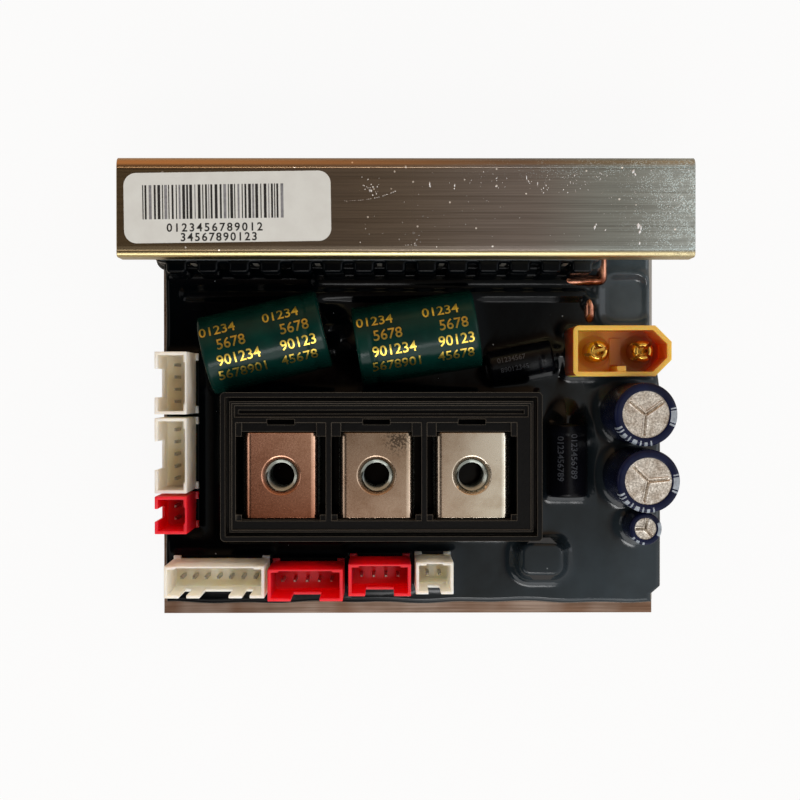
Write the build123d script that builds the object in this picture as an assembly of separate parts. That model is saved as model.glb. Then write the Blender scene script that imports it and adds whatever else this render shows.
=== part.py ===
from build123d import *
import os
from math import cos, hypot, radians, sin

os.makedirs("parts", exist_ok=True)

# Electronic speed controller: a potted power board on an aluminium plate, with a heatsink bar along its back.
# Frame: X across the board, Y from the plug side to the heatsink side, Z up from the plate's underside.
# All sizes are in millimetres.

# Overall sizes
assembly_depth = 75.0          # front edge of the plate to the back of the heatsink
heatsink_length = 92.0
heatsink_depth = 15.8
heatsink_thickness = 6.0
plate_width = 83.4
plate_shift = 0.7              # the plate sits slightly to the right of the heatsink's middle
plate_thickness = 2.0
sheet_thickness = 0.3
board_gap = 2.0                # plate to board
board_thickness = 1.6
potting_cover = 2.0            # potting above the board
heatsink_rise = 12.0           # board to the heatsink's underside

# Edge insets
plate_back_inset = 2.0
board_left_inset = 1.4
board_right_inset = 1.7
board_front_inset = 2.7
board_back_inset = 3.0
board_ear = 1.8                # extra board width beside the battery inlet and the upright capacitors
ear_front = 2.9                # start of the ear, from the board's front edge
ear_length = 43.0
potting_margin = 0.6           # potting outside the board's edge
cast_gap = 0.05                # round pieces stand this far inside their hole in the potting
drill_gap = 0.15               # lead to its hole in the board, each side

# Fixings between plate and board
screw_diameter = 2.0
screw_head_diameter = 3.8
screw_head_depth = 1.1
spacer_diameter = 4.5
nut_width = 4.0
nut_height = 1.6
screw_inset_left = 2.4
screw_inset_right = 2.0

# Heatsink and power transistors
heatsink_edge_radius = 1.3
heatsink_groove_width = 0.35
heatsink_groove_depth = 0.15
heatsink_groove_inset = 1.7
pad_thickness = 0.3
transistor_count = 7
transistor_pitch = 10.16
transistor_shift = -4.8        # middle of the transistor row from the middle of the plate
transistor_width = 10.0
transistor_height = 4.5
transistor_body_length = 9.0
transistor_length = 15.0
tab_thickness = 1.3
tab_hole_diameter = 3.6
lead_pitch = 2.54
lead_width = 0.8
lead_thickness = 0.5
lead_drop = 2.4                # tab face to the leads' middle
lead_bend_radius = 0.7
lead_tail = 0.8                # what every lead shows below the board
outer_lead_reach = 1.2         # outer leads stand in front of the heatsink by this much
middle_lead_reach = 0.2
coat_width = 3.6               # potting around each outer lead
coat_depth = 1.7
bank_rise = 8.4                # potting under the heatsink, above the main surface
bank_margin = 1.3

# Bus wires
wire_diameter = 1.8
wire_bend_radius = 2.0
wire_seat = 0.3                # wire above the board
wire_spacing = 2.2
wire_inset = 1.5               # rear wire to the outer leads

# Phase terminal block
frame_length = 51.4
frame_depth = 23.8
frame_height = 16.0
frame_shift = -4.5             # middle of the block from the middle of the plate
frame_front = 11.3             # block's front face from the board's front edge
frame_rim = 0.75
frame_groove = 1.1
frame_groove_depth = 2.4
frame_step = 0.7               # inner block below the rim
frame_head_width = 4.0
frame_head_depth = 1.5
frame_slot_width = 4.4
frame_slot_depth = 0.8
terminal_count = 3
terminal_pitch = 15.3
terminal_shift = -0.8          # terminals from the middle of the block
terminal_width = 12.1
terminal_depth = 13.7
terminal_thickness = 2.0
terminal_recess = 1.6          # terminal top below the block's rim
terminal_leg = 1.5
terminal_front = 3.6           # block's front face to the terminals
terminal_clearance = 0.35
terminal_tab_width = 2.5
terminal_bend_radius = 1.4
thread_bore = 4.2              # M5 tapped hole, at its minor diameter
thread_collar = 7.4
thread_collar_length = 3.0
thread_chamfer = 0.95

# Signal headers
header_pitch = 2.0
header_margin = 2.0            # end pin to the end of the housing
header_depth = 5.1
header_wall = 0.5
header_height = 16.0
header_floor = 4.0             # solid base of each housing
header_slot = 4.6
header_slot_narrow = 2.0
header_slot_depth = 9.0
header_side_slot = 1.2
header_side_slot_offset = 5.05
header_foot = 0.5
header_foot_width = 1.2
header_foot_height = 3.6
header_pin = 0.5
header_pin_height = 9.6        # above the board

# Battery inlet
inlet_length = 15.7
inlet_depth = 8.1
inlet_height = 16.0
inlet_wall = 0.7
inlet_cavity = 9.0
inlet_chamfer = 2.6
inlet_corner = 0.8
inlet_contact_pitch = 7.2
inlet_contact_diameter = 3.5
inlet_contact_recess = 2.0
inlet_slot = 0.5
inlet_slot_depth = 5.0
inlet_tail_diameter = 2.4
inlet_side_inset = 7.8         # inlet's middle from the ear's edge
inlet_y = 41.7                 # inlet's middle from the board's front edge

# Capacitors: outside diameter and length include the sleeve
sleeve_thickness = 0.15
sleeve_lip = 1.1
capacitor_lead = 0.7
lead_run = 1.5                 # a lying capacitor's leads, from its end to their drop
crimp_depth = 0.5
crimp_width = 1.2
crimp_inset = 2.6
bulk_diameter = 13.0
bulk_length = 20.0
bulk_lead_pitch = 5.0
upright_diameter = 10.0
upright_length = 20.0
upright_lead_pitch = 5.0
upright_seat = 0.3
small_diameter = 5.3
small_length = 11.5
small_lead_pitch = 2.0
bypass_length = 10.8
filter_diameter = 6.8
filter_length = 12.2
filter_lead_pitch = 2.5

# Surface-mounted parts inside the potting
inductor_size = 7.0
inductor_height = 4.0
inductor_flange = 0.8
inductor_neck = 3.2
inductor_coil = 5.6
inductor_coat = 0.6

# Label on the heatsink
label_length = 32.7
label_width = 11.1
label_thickness = 0.1
label_corner = 2.0
label_turn = 0.8
label_inset = 1.55             # label's left end from the heatsink's left end

# Levels
plate_top = plate_thickness
sheet_top = plate_top + sheet_thickness
board_bottom = plate_top + board_gap
board_top = board_bottom + board_thickness
potting_top = board_top + potting_cover
bank_top = potting_top + bank_rise
heatsink_bottom = board_top + heatsink_rise
heatsink_top = heatsink_bottom + heatsink_thickness
tab_top = heatsink_bottom - pad_thickness
lead_bottom = board_bottom - lead_tail

# Edges
plate_left = plate_shift - plate_width / 2
plate_right = plate_shift + plate_width / 2
plate_front = -assembly_depth / 2
heatsink_back = assembly_depth / 2
plate_back = heatsink_back - plate_back_inset
heatsink_front = heatsink_back - heatsink_depth
board_left = plate_left + board_left_inset
board_right = plate_right - board_right_inset
board_front = plate_front + board_front_inset
board_back = heatsink_back - board_back_inset
ear_right = board_right + board_ear

pieces = {}                    # node name to its shape
voids = []                     # what the potting flows around
drills = []                    # holes in the board: x, y, diameter
slots = []                     # rectangular holes in the board: x, y, width, depth


def block(left, right, front, back, bottom, top):
    """A box between two limits on each axis."""
    middle = Pos((left + right) / 2, (front + back) / 2, (bottom + top) / 2)
    return middle * Box(right - left, back - front, top - bottom)


def post(x, y, bottom, top, diameter):
    """An upright cylinder."""
    return Pos(x, y, (bottom + top) / 2) * Cylinder(diameter / 2, top - bottom)


def prism(outline, bottom, top):
    """An upright solid over a flat outline."""
    return Pos(0, 0, bottom) * extrude(outline, amount=top - bottom)


def pillar(centre, size, turn, height):
    """A square-cornered package standing on the board, turned about Z."""
    x, y = centre
    width, depth = size
    return Pos(x, y, board_top + height / 2) * Rot(0, 0, turn) * Box(width, depth, height)


def group(shapes):
    """Separate solids kept together in one node."""
    return Compound([solid for shape in shapes for solid in shape.solids()])


def bent_rod(points, radius, section):
    """A wire or lead: straight runs joined by tangent arcs."""
    path = FilletPolyline(*points, radius=radius)
    start = Plane(origin=path @ 0, x_dir=(1, 0, 0) if abs((path % 0).X) < 0.5 else (0, 1, 0), z_dir=path % 0)
    return sweep(start * section, path=path)


def add_plate():
    """The base plate with its countersunk screws, spacers, nuts and insulating sheet."""
    places = [
        (board_left + screw_inset_left, board_front + 10.2),
        (board_left + screw_inset_left, board_front + 45.4),
        (board_right - screw_inset_right, board_front + 5.2),
        (board_right - screw_inset_right, board_front + 50.4),
    ]
    clearance_diameter = screw_diameter + 2 * drill_gap
    plate = block(plate_left, plate_right, plate_front, plate_back, 0, plate_top)
    sheet = block(board_left, board_right, board_front, board_back, plate_top, sheet_top)
    screws, spacers, nuts = [], [], []
    for x, y in places:
        head = Pos(x, y, screw_head_depth / 2) * Cone(screw_head_diameter / 2, screw_diameter / 2, screw_head_depth)
        seat = Pos(x, y, screw_head_depth / 2) * Cone(
            screw_head_diameter / 2 + cast_gap, screw_diameter / 2 + cast_gap, screw_head_depth)
        plate = plate - post(x, y, 0, plate_top, clearance_diameter) - seat
        sheet = sheet - post(x, y, plate_top, sheet_top, spacer_diameter + 2 * cast_gap)
        screws.append(head + post(x, y, screw_head_depth, board_top + nut_height, screw_diameter))
        bore = post(x, y, plate_top, board_bottom, clearance_diameter)
        spacers.append(post(x, y, plate_top, board_bottom, spacer_diameter) - bore)
        outline = Pos(x, y) * RegularPolygon(nut_width / 2, 6, major_radius=False)
        opening = post(x, y, board_top, board_top + nut_height, screw_diameter + 2 * cast_gap)
        nuts.append(prism(outline, board_top, board_top + nut_height) - opening)
        drills.append((x, y, clearance_diameter))
        voids.append(post(x, y, plate_top, board_bottom, spacer_diameter + 2 * cast_gap))
        voids.append(prism(outline, board_top, board_top + nut_height))
    pieces["base_plate"] = plate
    pieces["insulating_sheet"] = sheet
    pieces["plate_screws"] = group(screws)
    pieces["board_spacers"] = group(spacers)
    pieces["screw_nuts"] = group(nuts)
    voids.append(block(board_left, board_right, board_front, board_back, plate_top, sheet_top))


def add_heatsink():
    """The aluminium bar with its rounded, grooved long edges, its thermal pad and its label."""
    half = heatsink_length / 2
    bar = block(-half, half, heatsink_front, heatsink_back, heatsink_bottom, heatsink_top)
    long_edges = bar.edges().filter_by(Axis.X).group_by(Axis.Z)[-1]
    bar = fillet(long_edges, heatsink_edge_radius)
    for groove_middle in (heatsink_front + heatsink_groove_inset, heatsink_back - heatsink_groove_inset):
        bar = bar - block(-half, half, groove_middle - heatsink_groove_width / 2,
                          groove_middle + heatsink_groove_width / 2,
                          heatsink_top - heatsink_groove_depth, heatsink_top)
    pieces["heatsink_bar"] = bar

    row_half = (transistor_count - 1) * transistor_pitch / 2 + transistor_width / 2
    row_middle = plate_shift + transistor_shift
    pieces["thermal_pad"] = block(row_middle - row_half, row_middle + row_half, heatsink_front,
                                  heatsink_back, tab_top, heatsink_bottom)

    label = extrude(RectangleRounded(label_length, label_width, label_corner), amount=label_thickness)
    label_middle = (-half + label_inset + label_length / 2, (heatsink_front + heatsink_back) / 2)
    pieces["heatsink_label"] = Pos(*label_middle, heatsink_top) * Rot(0, 0, label_turn) * label


def add_transistors():
    """A row of flat transistors under the bar: moulded body, metal tab and three bent leads each."""
    front = heatsink_front + 0.7
    body_top = tab_top - tab_thickness
    body_bottom = tab_top - transistor_height
    lead_level = tab_top - lead_drop
    half = transistor_width / 2
    body = block(-half, half, front, front + transistor_body_length, body_bottom, body_top)
    tab = block(-half, half, front, front + transistor_length, body_top, tab_top)
    hole_y = front + (transistor_body_length + transistor_length) / 2
    tab = tab - post(0, hole_y, body_top, tab_top, tab_hole_diameter)

    def lead(offset, reach, grow):
        drop_y = heatsink_front - reach
        section = Rectangle(lead_width + grow, lead_thickness + grow)
        points = [(offset, front, lead_level), (offset, drop_y, lead_level), (offset, drop_y, lead_bottom)]
        radius = min(lead_bend_radius, (front - drop_y) * 0.9)
        return bent_rod(points, radius, section)

    reaches = ((-lead_pitch, outer_lead_reach), (0, middle_lead_reach), (lead_pitch, outer_lead_reach))
    leads = [lead(offset, reach, 0) for offset, reach in reaches]
    first = plate_shift + transistor_shift - (transistor_count - 1) * transistor_pitch / 2
    hole = hypot(lead_width, lead_thickness) + drill_gap
    for index in range(transistor_count):
        place = Pos(first + index * transistor_pitch, 0, 0)
        pieces[f"power_transistor_{index + 1}"] = group([place * shape for shape in [body, tab, *leads]])
        voids.append(place * body)
        for offset, reach in reaches:
            x = first + index * transistor_pitch + offset
            drills.append((x, heatsink_front - reach, hole))
            voids.append(place * block(offset - lead_width / 2, offset + lead_width / 2,
                                       heatsink_front - reach - lead_thickness / 2,
                                       front, lead_bottom, lead_level + lead_thickness / 2))


def potting_coats():
    """Raised potting: the bank under the heatsink, a coat on each outer lead and one on the inductor."""
    row_middle = plate_shift + transistor_shift
    row_half = (transistor_count - 1) * transistor_pitch / 2 + transistor_width / 2 + bank_margin
    lead_y = heatsink_front - outer_lead_reach
    coats = [block(row_middle - row_half, row_middle + row_half, lead_y + coat_depth / 2 - 0.2,
                   board_back, potting_top, bank_top)]
    first = row_middle - (transistor_count - 1) * transistor_pitch / 2
    for index in range(transistor_count):
        for offset in (-lead_pitch, lead_pitch):
            x = first + index * transistor_pitch + offset
            tooth = Pos(x, lead_y) * RectangleRounded(coat_width, coat_depth, coat_depth * 0.4)
            coats.append(prism(tooth, potting_top, bank_top))
    return coats


def wire_rows():
    rear_y = heatsink_front - outer_lead_reach - wire_inset
    return rear_y, rear_y - wire_spacing


def add_bus_wires():
    """Two stout copper wires on the board, each bent down into it at both ends."""
    level = board_top + wire_seat + wire_diameter / 2
    rear_y, front_y = wire_rows()
    positive_x, inlet_back = inlet_contacts()[0][0], inlet_middle()[1] + inlet_depth / 2
    routes = {
        "bus_wire_rear": [(plate_shift - 15.1, rear_y), (ear_right - 9.4, rear_y), (ear_right - 9.4, rear_y + 5.2)],
        "bus_wire_front": [(plate_shift - 37.1, front_y), (positive_x, front_y), (positive_x, inlet_back + 1.3)],
    }
    for name, route in routes.items():
        points = [(*route[0], lead_bottom), *[(x, y, level) for x, y in route], (*route[-1], lead_bottom)]
        radius = wire_bend_radius * 0.9
        pieces[name] = bent_rod(points, radius, Circle(wire_diameter / 2))
        voids.append(bent_rod(points, radius, Circle(wire_diameter / 2 + cast_gap)))
        for x, y in (route[0], route[-1]):
            drills.append((x, y, wire_diameter + 2 * drill_gap))


def add_terminal_block():
    """The phase terminal block: a moulded frame around three tapped metal bridges."""
    middle_x = plate_shift + frame_shift
    left, right = middle_x - frame_length / 2, middle_x + frame_length / 2
    front = board_front + frame_front
    back = front + frame_depth
    top = board_top + frame_height
    frame = block(left, right, front, back, board_top, top)
    voids.append(frame)
    inner = (left + frame_rim, right - frame_rim, front + frame_rim, back - frame_rim)
    core = (inner[0] + frame_groove, inner[1] - frame_groove, inner[2] + frame_groove, inner[3] - frame_groove)
    groove = block(*inner, top - frame_groove_depth, top)
    frame = frame - (groove - block(*core, top - frame_groove_depth, top - frame_step))
    frame = fillet(frame.edges().filter_by(Axis.Z).group_by(Axis.X)[0], 0.6)
    frame = fillet(frame.edges().filter_by(Axis.Z).group_by(Axis.X)[-1], 0.6)

    terminal_top = top - terminal_recess
    pocket_front = front + terminal_front - terminal_clearance
    pocket_back = front + terminal_front + terminal_depth + terminal_clearance + 1.6
    half = terminal_width / 2 + terminal_clearance
    first = middle_x + terminal_shift - (terminal_count - 1) * terminal_pitch / 2
    for index in range(terminal_count):
        x = first + index * terminal_pitch
        frame = frame - block(x - half, x + half, pocket_front, pocket_back, board_top, top)
        frame = frame - block(x - frame_slot_width / 2, x + frame_slot_width / 2, pocket_back,
                              pocket_back + frame_slot_depth, board_top + frame_height / 2, top)
        pieces[f"phase_terminal_{index + 1}"] = phase_terminal(x, front + terminal_front, terminal_top)
    for index in range(terminal_count - 1):
        x = first + (index + 0.5) * terminal_pitch
        frame = frame + block(x - frame_head_width / 2, x + frame_head_width / 2,
                              pocket_back - frame_head_depth, pocket_back, board_top, top - frame_step)
    pieces["terminal_frame"] = frame


def phase_terminal(x, front, top):
    """A metal bridge bent down at both sides, with a tapped collar and solder tabs through the board."""
    half = terminal_width / 2
    back = front + terminal_depth
    bridge = block(x - half, x + half, front, back, board_top, top)
    bridge = fillet(bridge.edges().filter_by(Axis.Y).group_by(Axis.Z)[-1], terminal_bend_radius)
    bridge = bridge - block(x - half + terminal_leg, x + half - terminal_leg, front, back,
                            board_top, top - terminal_thickness)
    centre_y = (front + back) / 2
    bridge = bridge + post(x, centre_y, top - terminal_thickness - thread_collar_length,
                           top - terminal_thickness, thread_collar)
    bridge = bridge - post(x, centre_y, top - terminal_thickness - thread_collar_length, top, thread_bore)
    funnel = Pos(x, centre_y, top - thread_chamfer / 2) * Cone(
        thread_bore / 2, thread_bore / 2 + thread_chamfer, thread_chamfer)
    bridge = bridge - funnel
    for side in (-1, 1):
        leg_x = x + side * (half - terminal_leg / 2)
        for end in (front + terminal_tab_width, back - terminal_tab_width):
            tab = block(leg_x - terminal_leg / 2, leg_x + terminal_leg / 2,
                        end - terminal_tab_width / 2, end + terminal_tab_width / 2, lead_bottom, board_top)
            bridge = bridge + tab
            voids.append(tab)
            slots.append((leg_x, end, terminal_leg + 2 * drill_gap, terminal_tab_width + 2 * drill_gap))
    return bridge


def add_header(name, pin_count, place, turn):
    """One plug header: a tall open housing with latch slots in its outer wall, and its row of pins."""
    length = (pin_count - 1) * header_pitch + 2 * header_margin
    half, half_depth = length / 2, header_depth / 2
    top = board_top + header_height
    housing = block(-half, half, -half_depth, half_depth, board_top, top)
    housing = housing - block(-half + header_wall, half - header_wall, -half_depth + header_wall,
                              half_depth - header_wall, board_top + header_floor, top)
    wide = header_slot if pin_count > 2 else header_slot_narrow
    cuts = [(0, wide)]
    if pin_count > 5:
        cuts += [(-header_side_slot_offset, header_side_slot), (header_side_slot_offset, header_side_slot)]
    for middle, width in cuts:
        housing = housing - block(middle - width / 2, middle + width / 2, -half_depth,
                                  -half_depth + header_wall, top - header_slot_depth, top)
    for side in (-1, 1):
        foot_x = side * (half - header_foot_width / 2)
        housing = housing + block(foot_x - header_foot_width / 2, foot_x + header_foot_width / 2, half_depth,
                                  half_depth + header_foot, board_top, board_top + header_foot_height)
    x, y = place
    spot = Pos(x, y, 0) * Rot(0, 0, turn)
    voids.append(spot * block(-half, half, -half_depth, half_depth, board_top, potting_top))
    for side in (-1, 1):
        foot_x = side * (half - header_foot_width / 2)
        voids.append(spot * block(foot_x - header_foot_width / 2, foot_x + header_foot_width / 2, half_depth,
                                  half_depth + header_foot, board_top, potting_top))
    pins = []
    for index in range(pin_count):
        pin_x = (index - (pin_count - 1) / 2) * header_pitch
        pin = block(pin_x - header_pin / 2, pin_x + header_pin / 2, -header_pin / 2, header_pin / 2,
                    lead_bottom, board_top + header_pin_height)
        housing = housing - pin
        pins.append(spot * pin)
        hole = (spot * Pos(pin_x, 0, 0)).position
        drills.append((hole.X, hole.Y, header_pin * 1.414 + 2 * drill_gap))
        voids.append(spot * block(pin_x - header_pin / 2, pin_x + header_pin / 2, -header_pin / 2,
                                  header_pin / 2, lead_bottom, board_bottom))
    pieces[f"{name}_housing"] = spot * housing
    pieces[f"{name}_pins"] = group(pins)


def add_headers():
    """Three headers along the left edge and four along the front edge."""
    left_x = board_left + 2.2
    left_turn = -90
    add_header("left_header_rear", 4, (left_x, board_front + 36.6), left_turn)
    add_header("left_header_middle", 5, (left_x, board_front + 25.0), left_turn)
    add_header("left_header_front", 2, (left_x, board_front + 15.5), left_turn)
    # Each front header is placed by its back wall, so that a deeper housing grows towards the edge.
    front_row = ((7, 9.1, 7.35), (5, 23.6, 6.85), (4, 35.5, 7.65), (2, 44.3, 7.95))
    for index, (pin_count, along, back) in enumerate(front_row):
        place = (board_left + along, board_front + back - header_depth / 2)
        add_header(f"front_header_{index + 1}", pin_count, place, 0)


def inlet_middle():
    return ear_right - inlet_side_inset, board_front + inlet_y


def inlet_contacts():
    x, y = inlet_middle()
    return (x - inlet_contact_pitch / 2, y), (x + inlet_contact_pitch / 2, y)


def inlet_outline(shrink):
    """The inlet's outline: two round corners on the left, two chamfered ones on the right."""
    half, half_depth = inlet_length / 2 - shrink, inlet_depth / 2 - shrink
    cut = inlet_chamfer - shrink * 0.5
    outline = make_face(Polyline(
        (-half, -half_depth), (half - cut, -half_depth), (half, -half_depth + cut),
        (half, half_depth - cut), (half - cut, half_depth), (-half, half_depth), close=True))
    corners = outline.vertices().group_by(Axis.X)[0]
    return fillet(corners, max(inlet_corner - shrink, 0.15))


def add_battery_inlet():
    """The two-pole battery inlet: a moulded shell around two slotted bullet contacts."""
    x, y = inlet_middle()
    top = board_top + inlet_height
    floor = top - inlet_cavity
    spot = Pos(x, y, 0)
    shell = spot * (prism(inlet_outline(0), board_top, top) - prism(inlet_outline(inlet_wall), floor, top))
    voids.append(spot * prism(inlet_outline(0), board_top, potting_top))
    contact_top = top - inlet_contact_recess
    names = ("inlet_contact_positive", "inlet_contact_negative")
    for name, (contact_x, contact_y) in zip(names, inlet_contacts()):
        contact = post(contact_x, contact_y, board_top + 1.5, contact_top, inlet_contact_diameter)
        top_edge = contact.edges().group_by(Axis.Z)[-1]
        contact = chamfer(top_edge, 0.5)
        for turn in (0, 90):
            contact = contact - Pos(contact_x, contact_y, contact_top - inlet_slot_depth / 2) * Rot(
                0, 0, turn) * Box(inlet_contact_diameter + 1, inlet_slot, inlet_slot_depth)
        contact = contact + post(contact_x, contact_y, lead_bottom, board_top + 1.5, inlet_tail_diameter)
        seat_diameter = inlet_contact_diameter + 2 * cast_gap
        shell = shell - post(contact_x, contact_y, board_top + 1.5, floor, seat_diameter)
        shell = shell - post(contact_x, contact_y, board_top, board_top + 1.5, inlet_tail_diameter + 2 * cast_gap)
        pieces[name] = contact
        drills.append((contact_x, contact_y, inlet_tail_diameter + 2 * drill_gap))
        voids.append(post(contact_x, contact_y, lead_bottom, board_bottom, inlet_tail_diameter + 2 * cast_gap))
    pieces["inlet_housing"] = shell


def can_solid(diameter, length, lead_end):
    """A can along +Z from its lead end, with the rolled crimp near that end when it has one."""
    radius = diameter / 2 - sleeve_thickness
    can = Pos(0, 0, length / 2) * Cylinder(radius, length - 2 * sleeve_thickness)
    if lead_end:
        ring = Pos(0, 0, crimp_inset) * (Cylinder(radius + 1, crimp_width) - Cylinder(radius - crimp_depth, crimp_width))
        can = can - ring
    return can


def sleeve_solid(diameter, length):
    """The printed sleeve: a thin tube that laps over both ends of its can."""
    tube = Pos(0, 0, length / 2) * (Cylinder(diameter / 2, length)
                                    - Cylinder(diameter / 2 - sleeve_thickness, length - 2 * sleeve_thickness))
    hole = Pos(0, 0, length / 2) * Cylinder(diameter / 2 - sleeve_thickness - sleeve_lip, length)
    return tube - hole


def add_upright_capacitor(name, diameter, length, lead_pitch_here, place):
    """A can standing on the board, its two leads in line along Y."""
    x, y = place
    bottom = board_top + upright_seat
    spot = Pos(x, y, bottom)
    leads = [post(x, y + side * lead_pitch_here / 2, lead_bottom, bottom + sleeve_thickness, capacitor_lead)
             for side in (-1, 1)]
    pieces[f"{name}_can"] = group([spot * can_solid(diameter, length, True), *leads])
    pieces[f"{name}_sleeve"] = spot * sleeve_solid(diameter, length)
    voids.append(spot * Pos(0, 0, length / 2) * Cylinder(diameter / 2 + cast_gap, length))
    for side in (-1, 1):
        lead_y = y + side * lead_pitch_here / 2
        drills.append((x, lead_y, capacitor_lead + 2 * drill_gap))
        voids.append(post(x, lead_y, lead_bottom, bottom, capacitor_lead + 2 * cast_gap))


def add_lying_capacitor(name, diameter, length, lead_pitch_here, middle, turn):
    """A can lying on the board; its leads leave the end that faces along turn and drop into the board."""
    x, y = middle
    level = board_top + diameter / 2
    # The can's own axis is +Z from its lead end, so that end goes to the side that turn points at.
    spot = Pos(x, y, level) * Rot(0, 0, turn) * Pos(length / 2, 0, 0) * Rot(0, -90, 0)
    forward = (cos(radians(turn)), sin(radians(turn)))
    sideways = (-forward[1], forward[0])
    leads = []
    for side in (-1, 1):
        offset = side * lead_pitch_here / 2

        def at(along, height):
            return (x + forward[0] * along + sideways[0] * offset,
                    y + forward[1] * along + sideways[1] * offset, height)

        start = length / 2 - sleeve_thickness
        bend = length / 2 + lead_run
        points = [at(start, level), at(bend, level), at(bend, lead_bottom)]
        leads.append(bent_rod(points, lead_run * 0.6, Circle(capacitor_lead / 2)))
        voids.append(bent_rod(points, lead_run * 0.6, Circle(capacitor_lead / 2 + cast_gap)))
        drop = at(bend, 0)
        drills.append((drop[0], drop[1], capacitor_lead + 2 * drill_gap))
    pieces[f"{name}_can"] = group([spot * can_solid(diameter, length, True), *leads])
    pieces[f"{name}_sleeve"] = spot * sleeve_solid(diameter, length)
    voids.append(spot * Pos(0, 0, length / 2) * Cylinder(diameter / 2 + cast_gap, length))


def add_capacitors():
    """Two bulk capacitors and two small ones lying down, three more standing by the right edge."""
    wires_front = wire_rows()[1]
    add_lying_capacitor("bulk_capacitor_left", bulk_diameter, bulk_length, bulk_lead_pitch,
                        (plate_shift - 23.7, wires_front - 8.3), 13.5)
    add_lying_capacitor("bulk_capacitor_right", bulk_diameter, bulk_length, bulk_lead_pitch,
                        (plate_shift + 1.3, wires_front - 7.5), 180 + 9)
    add_lying_capacitor("bypass_capacitor", small_diameter, bypass_length, small_lead_pitch,
                        (plate_shift + 18.75, wires_front - 11.4), 11)
    add_lying_capacitor("filter_capacitor", filter_diameter, filter_length, filter_lead_pitch,
                        (plate_shift + 26.5, board_front + 23.7), 90)
    upright_x = ear_right - 4.5
    add_upright_capacitor("upright_capacitor_rear", upright_diameter, upright_length, upright_lead_pitch,
                          (upright_x - 0.2, board_front + 31.6))
    add_upright_capacitor("upright_capacitor_middle", upright_diameter, upright_length, upright_lead_pitch,
                          (upright_x + 0.2, board_front + 21.1))
    add_upright_capacitor("upright_capacitor_front", small_diameter, small_length, small_lead_pitch,
                          (upright_x + 1.05, board_front + 12.9))


def octagon(size):
    return chamfer(Rectangle(size, size).vertices(), size * 0.29)


def add_sealed_parts():
    """Parts that the potting covers: inductor, microcontroller, gate drivers, shunts and regulator."""
    inductor_x, inductor_y = plate_shift + 22.2, board_front + 7.3
    spot = Pos(inductor_x, inductor_y, 0)
    flange_top = board_top + inductor_flange
    neck_top = board_top + inductor_height - inductor_flange
    core = (prism(octagon(inductor_size), board_top, flange_top)
            + post(0, 0, flange_top, neck_top, inductor_neck)
            + prism(octagon(inductor_size), neck_top, board_top + inductor_height))
    coil = (post(0, 0, flange_top, neck_top, inductor_coil)
            - post(0, 0, flange_top, neck_top, inductor_neck + 2 * cast_gap))
    pieces["inductor_core"] = spot * core
    pieces["inductor_coil"] = spot * coil
    voids.append(spot * prism(octagon(inductor_size), board_top, board_top + inductor_height))
    coat = spot * prism(octagon(inductor_size + 2 * inductor_coat), board_top,
                        board_top + inductor_height + inductor_coat)

    packages = {
        "microcontroller": ([(plate_shift + 31.3, board_front + 5.5)], (7.0, 7.0), 1.4),
        "gate_drivers": ([(plate_shift - 32.6, board_front + offset) for offset in (15.0, 21.0, 27.0)],
                         (3.9, 4.9), 1.5),
        "current_shunts": ([(plate_shift + 15.7, inlet_middle()[1] + 5.7),
                            (plate_shift + 22.1, inlet_middle()[1] + 5.7)], (6.0, 3.1), 0.6),
        "voltage_regulator": ([(plate_shift + 28.1, board_front + 12.9)], (6.5, 6.0), 1.6),
    }
    for name, (places, size, height) in packages.items():
        chips = [pillar(place, size, 0, height) for place in places]
        pieces[name] = group(chips)
        voids.extend(chips)
    return coat


def board_outline(grow):
    """The board seen from above, with the ear on its right edge."""
    body = (board_left - grow, board_right + grow, board_front - grow, board_back + grow)
    ear_start = board_front + ear_front
    ear = (board_right - 5, ear_right + grow, ear_start - grow, ear_start + ear_length + grow)
    outline = Sketch()
    for left, right, front, back in (body, ear):
        outline = outline + Pos((left + right) / 2, (front + back) / 2) * Rectangle(right - left, back - front)
    return outline


def add_board():
    """The circuit board, drilled for every lead and slotted for the terminals' tabs."""
    board = prism(board_outline(0), board_bottom, board_top)
    voids.append(board)
    holes = [post(x, y, board_bottom, board_top, diameter) for x, y, diameter in drills]
    holes += [block(x - width / 2, x + width / 2, y - depth / 2, y + depth / 2, board_bottom, board_top)
              for x, y, width, depth in slots]
    pieces["circuit_board"] = board - holes


def add_potting(coats):
    """The cured potting that fills the gap under the board and covers its surface."""
    potting = prism(board_outline(potting_margin), plate_top, potting_top)
    for coat in coats:
        potting = potting + coat
    pieces["potting_compound"] = potting - voids


add_plate()
add_heatsink()
add_transistors()
add_bus_wires()
add_terminal_block()
add_headers()
add_battery_inlet()
add_capacitors()
inductor_cover = add_sealed_parts()
add_board()
add_potting([*potting_coats(), inductor_cover])

for name, shape in pieces.items():
    export_step(shape, f"parts/{name}.step")
print(len(pieces), "nodes")
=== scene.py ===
from math import cos, pi, radians, sin
import bmesh
import bpy
import numpy as np
from mathutils import Euler, Matrix, Vector, noise


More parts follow.
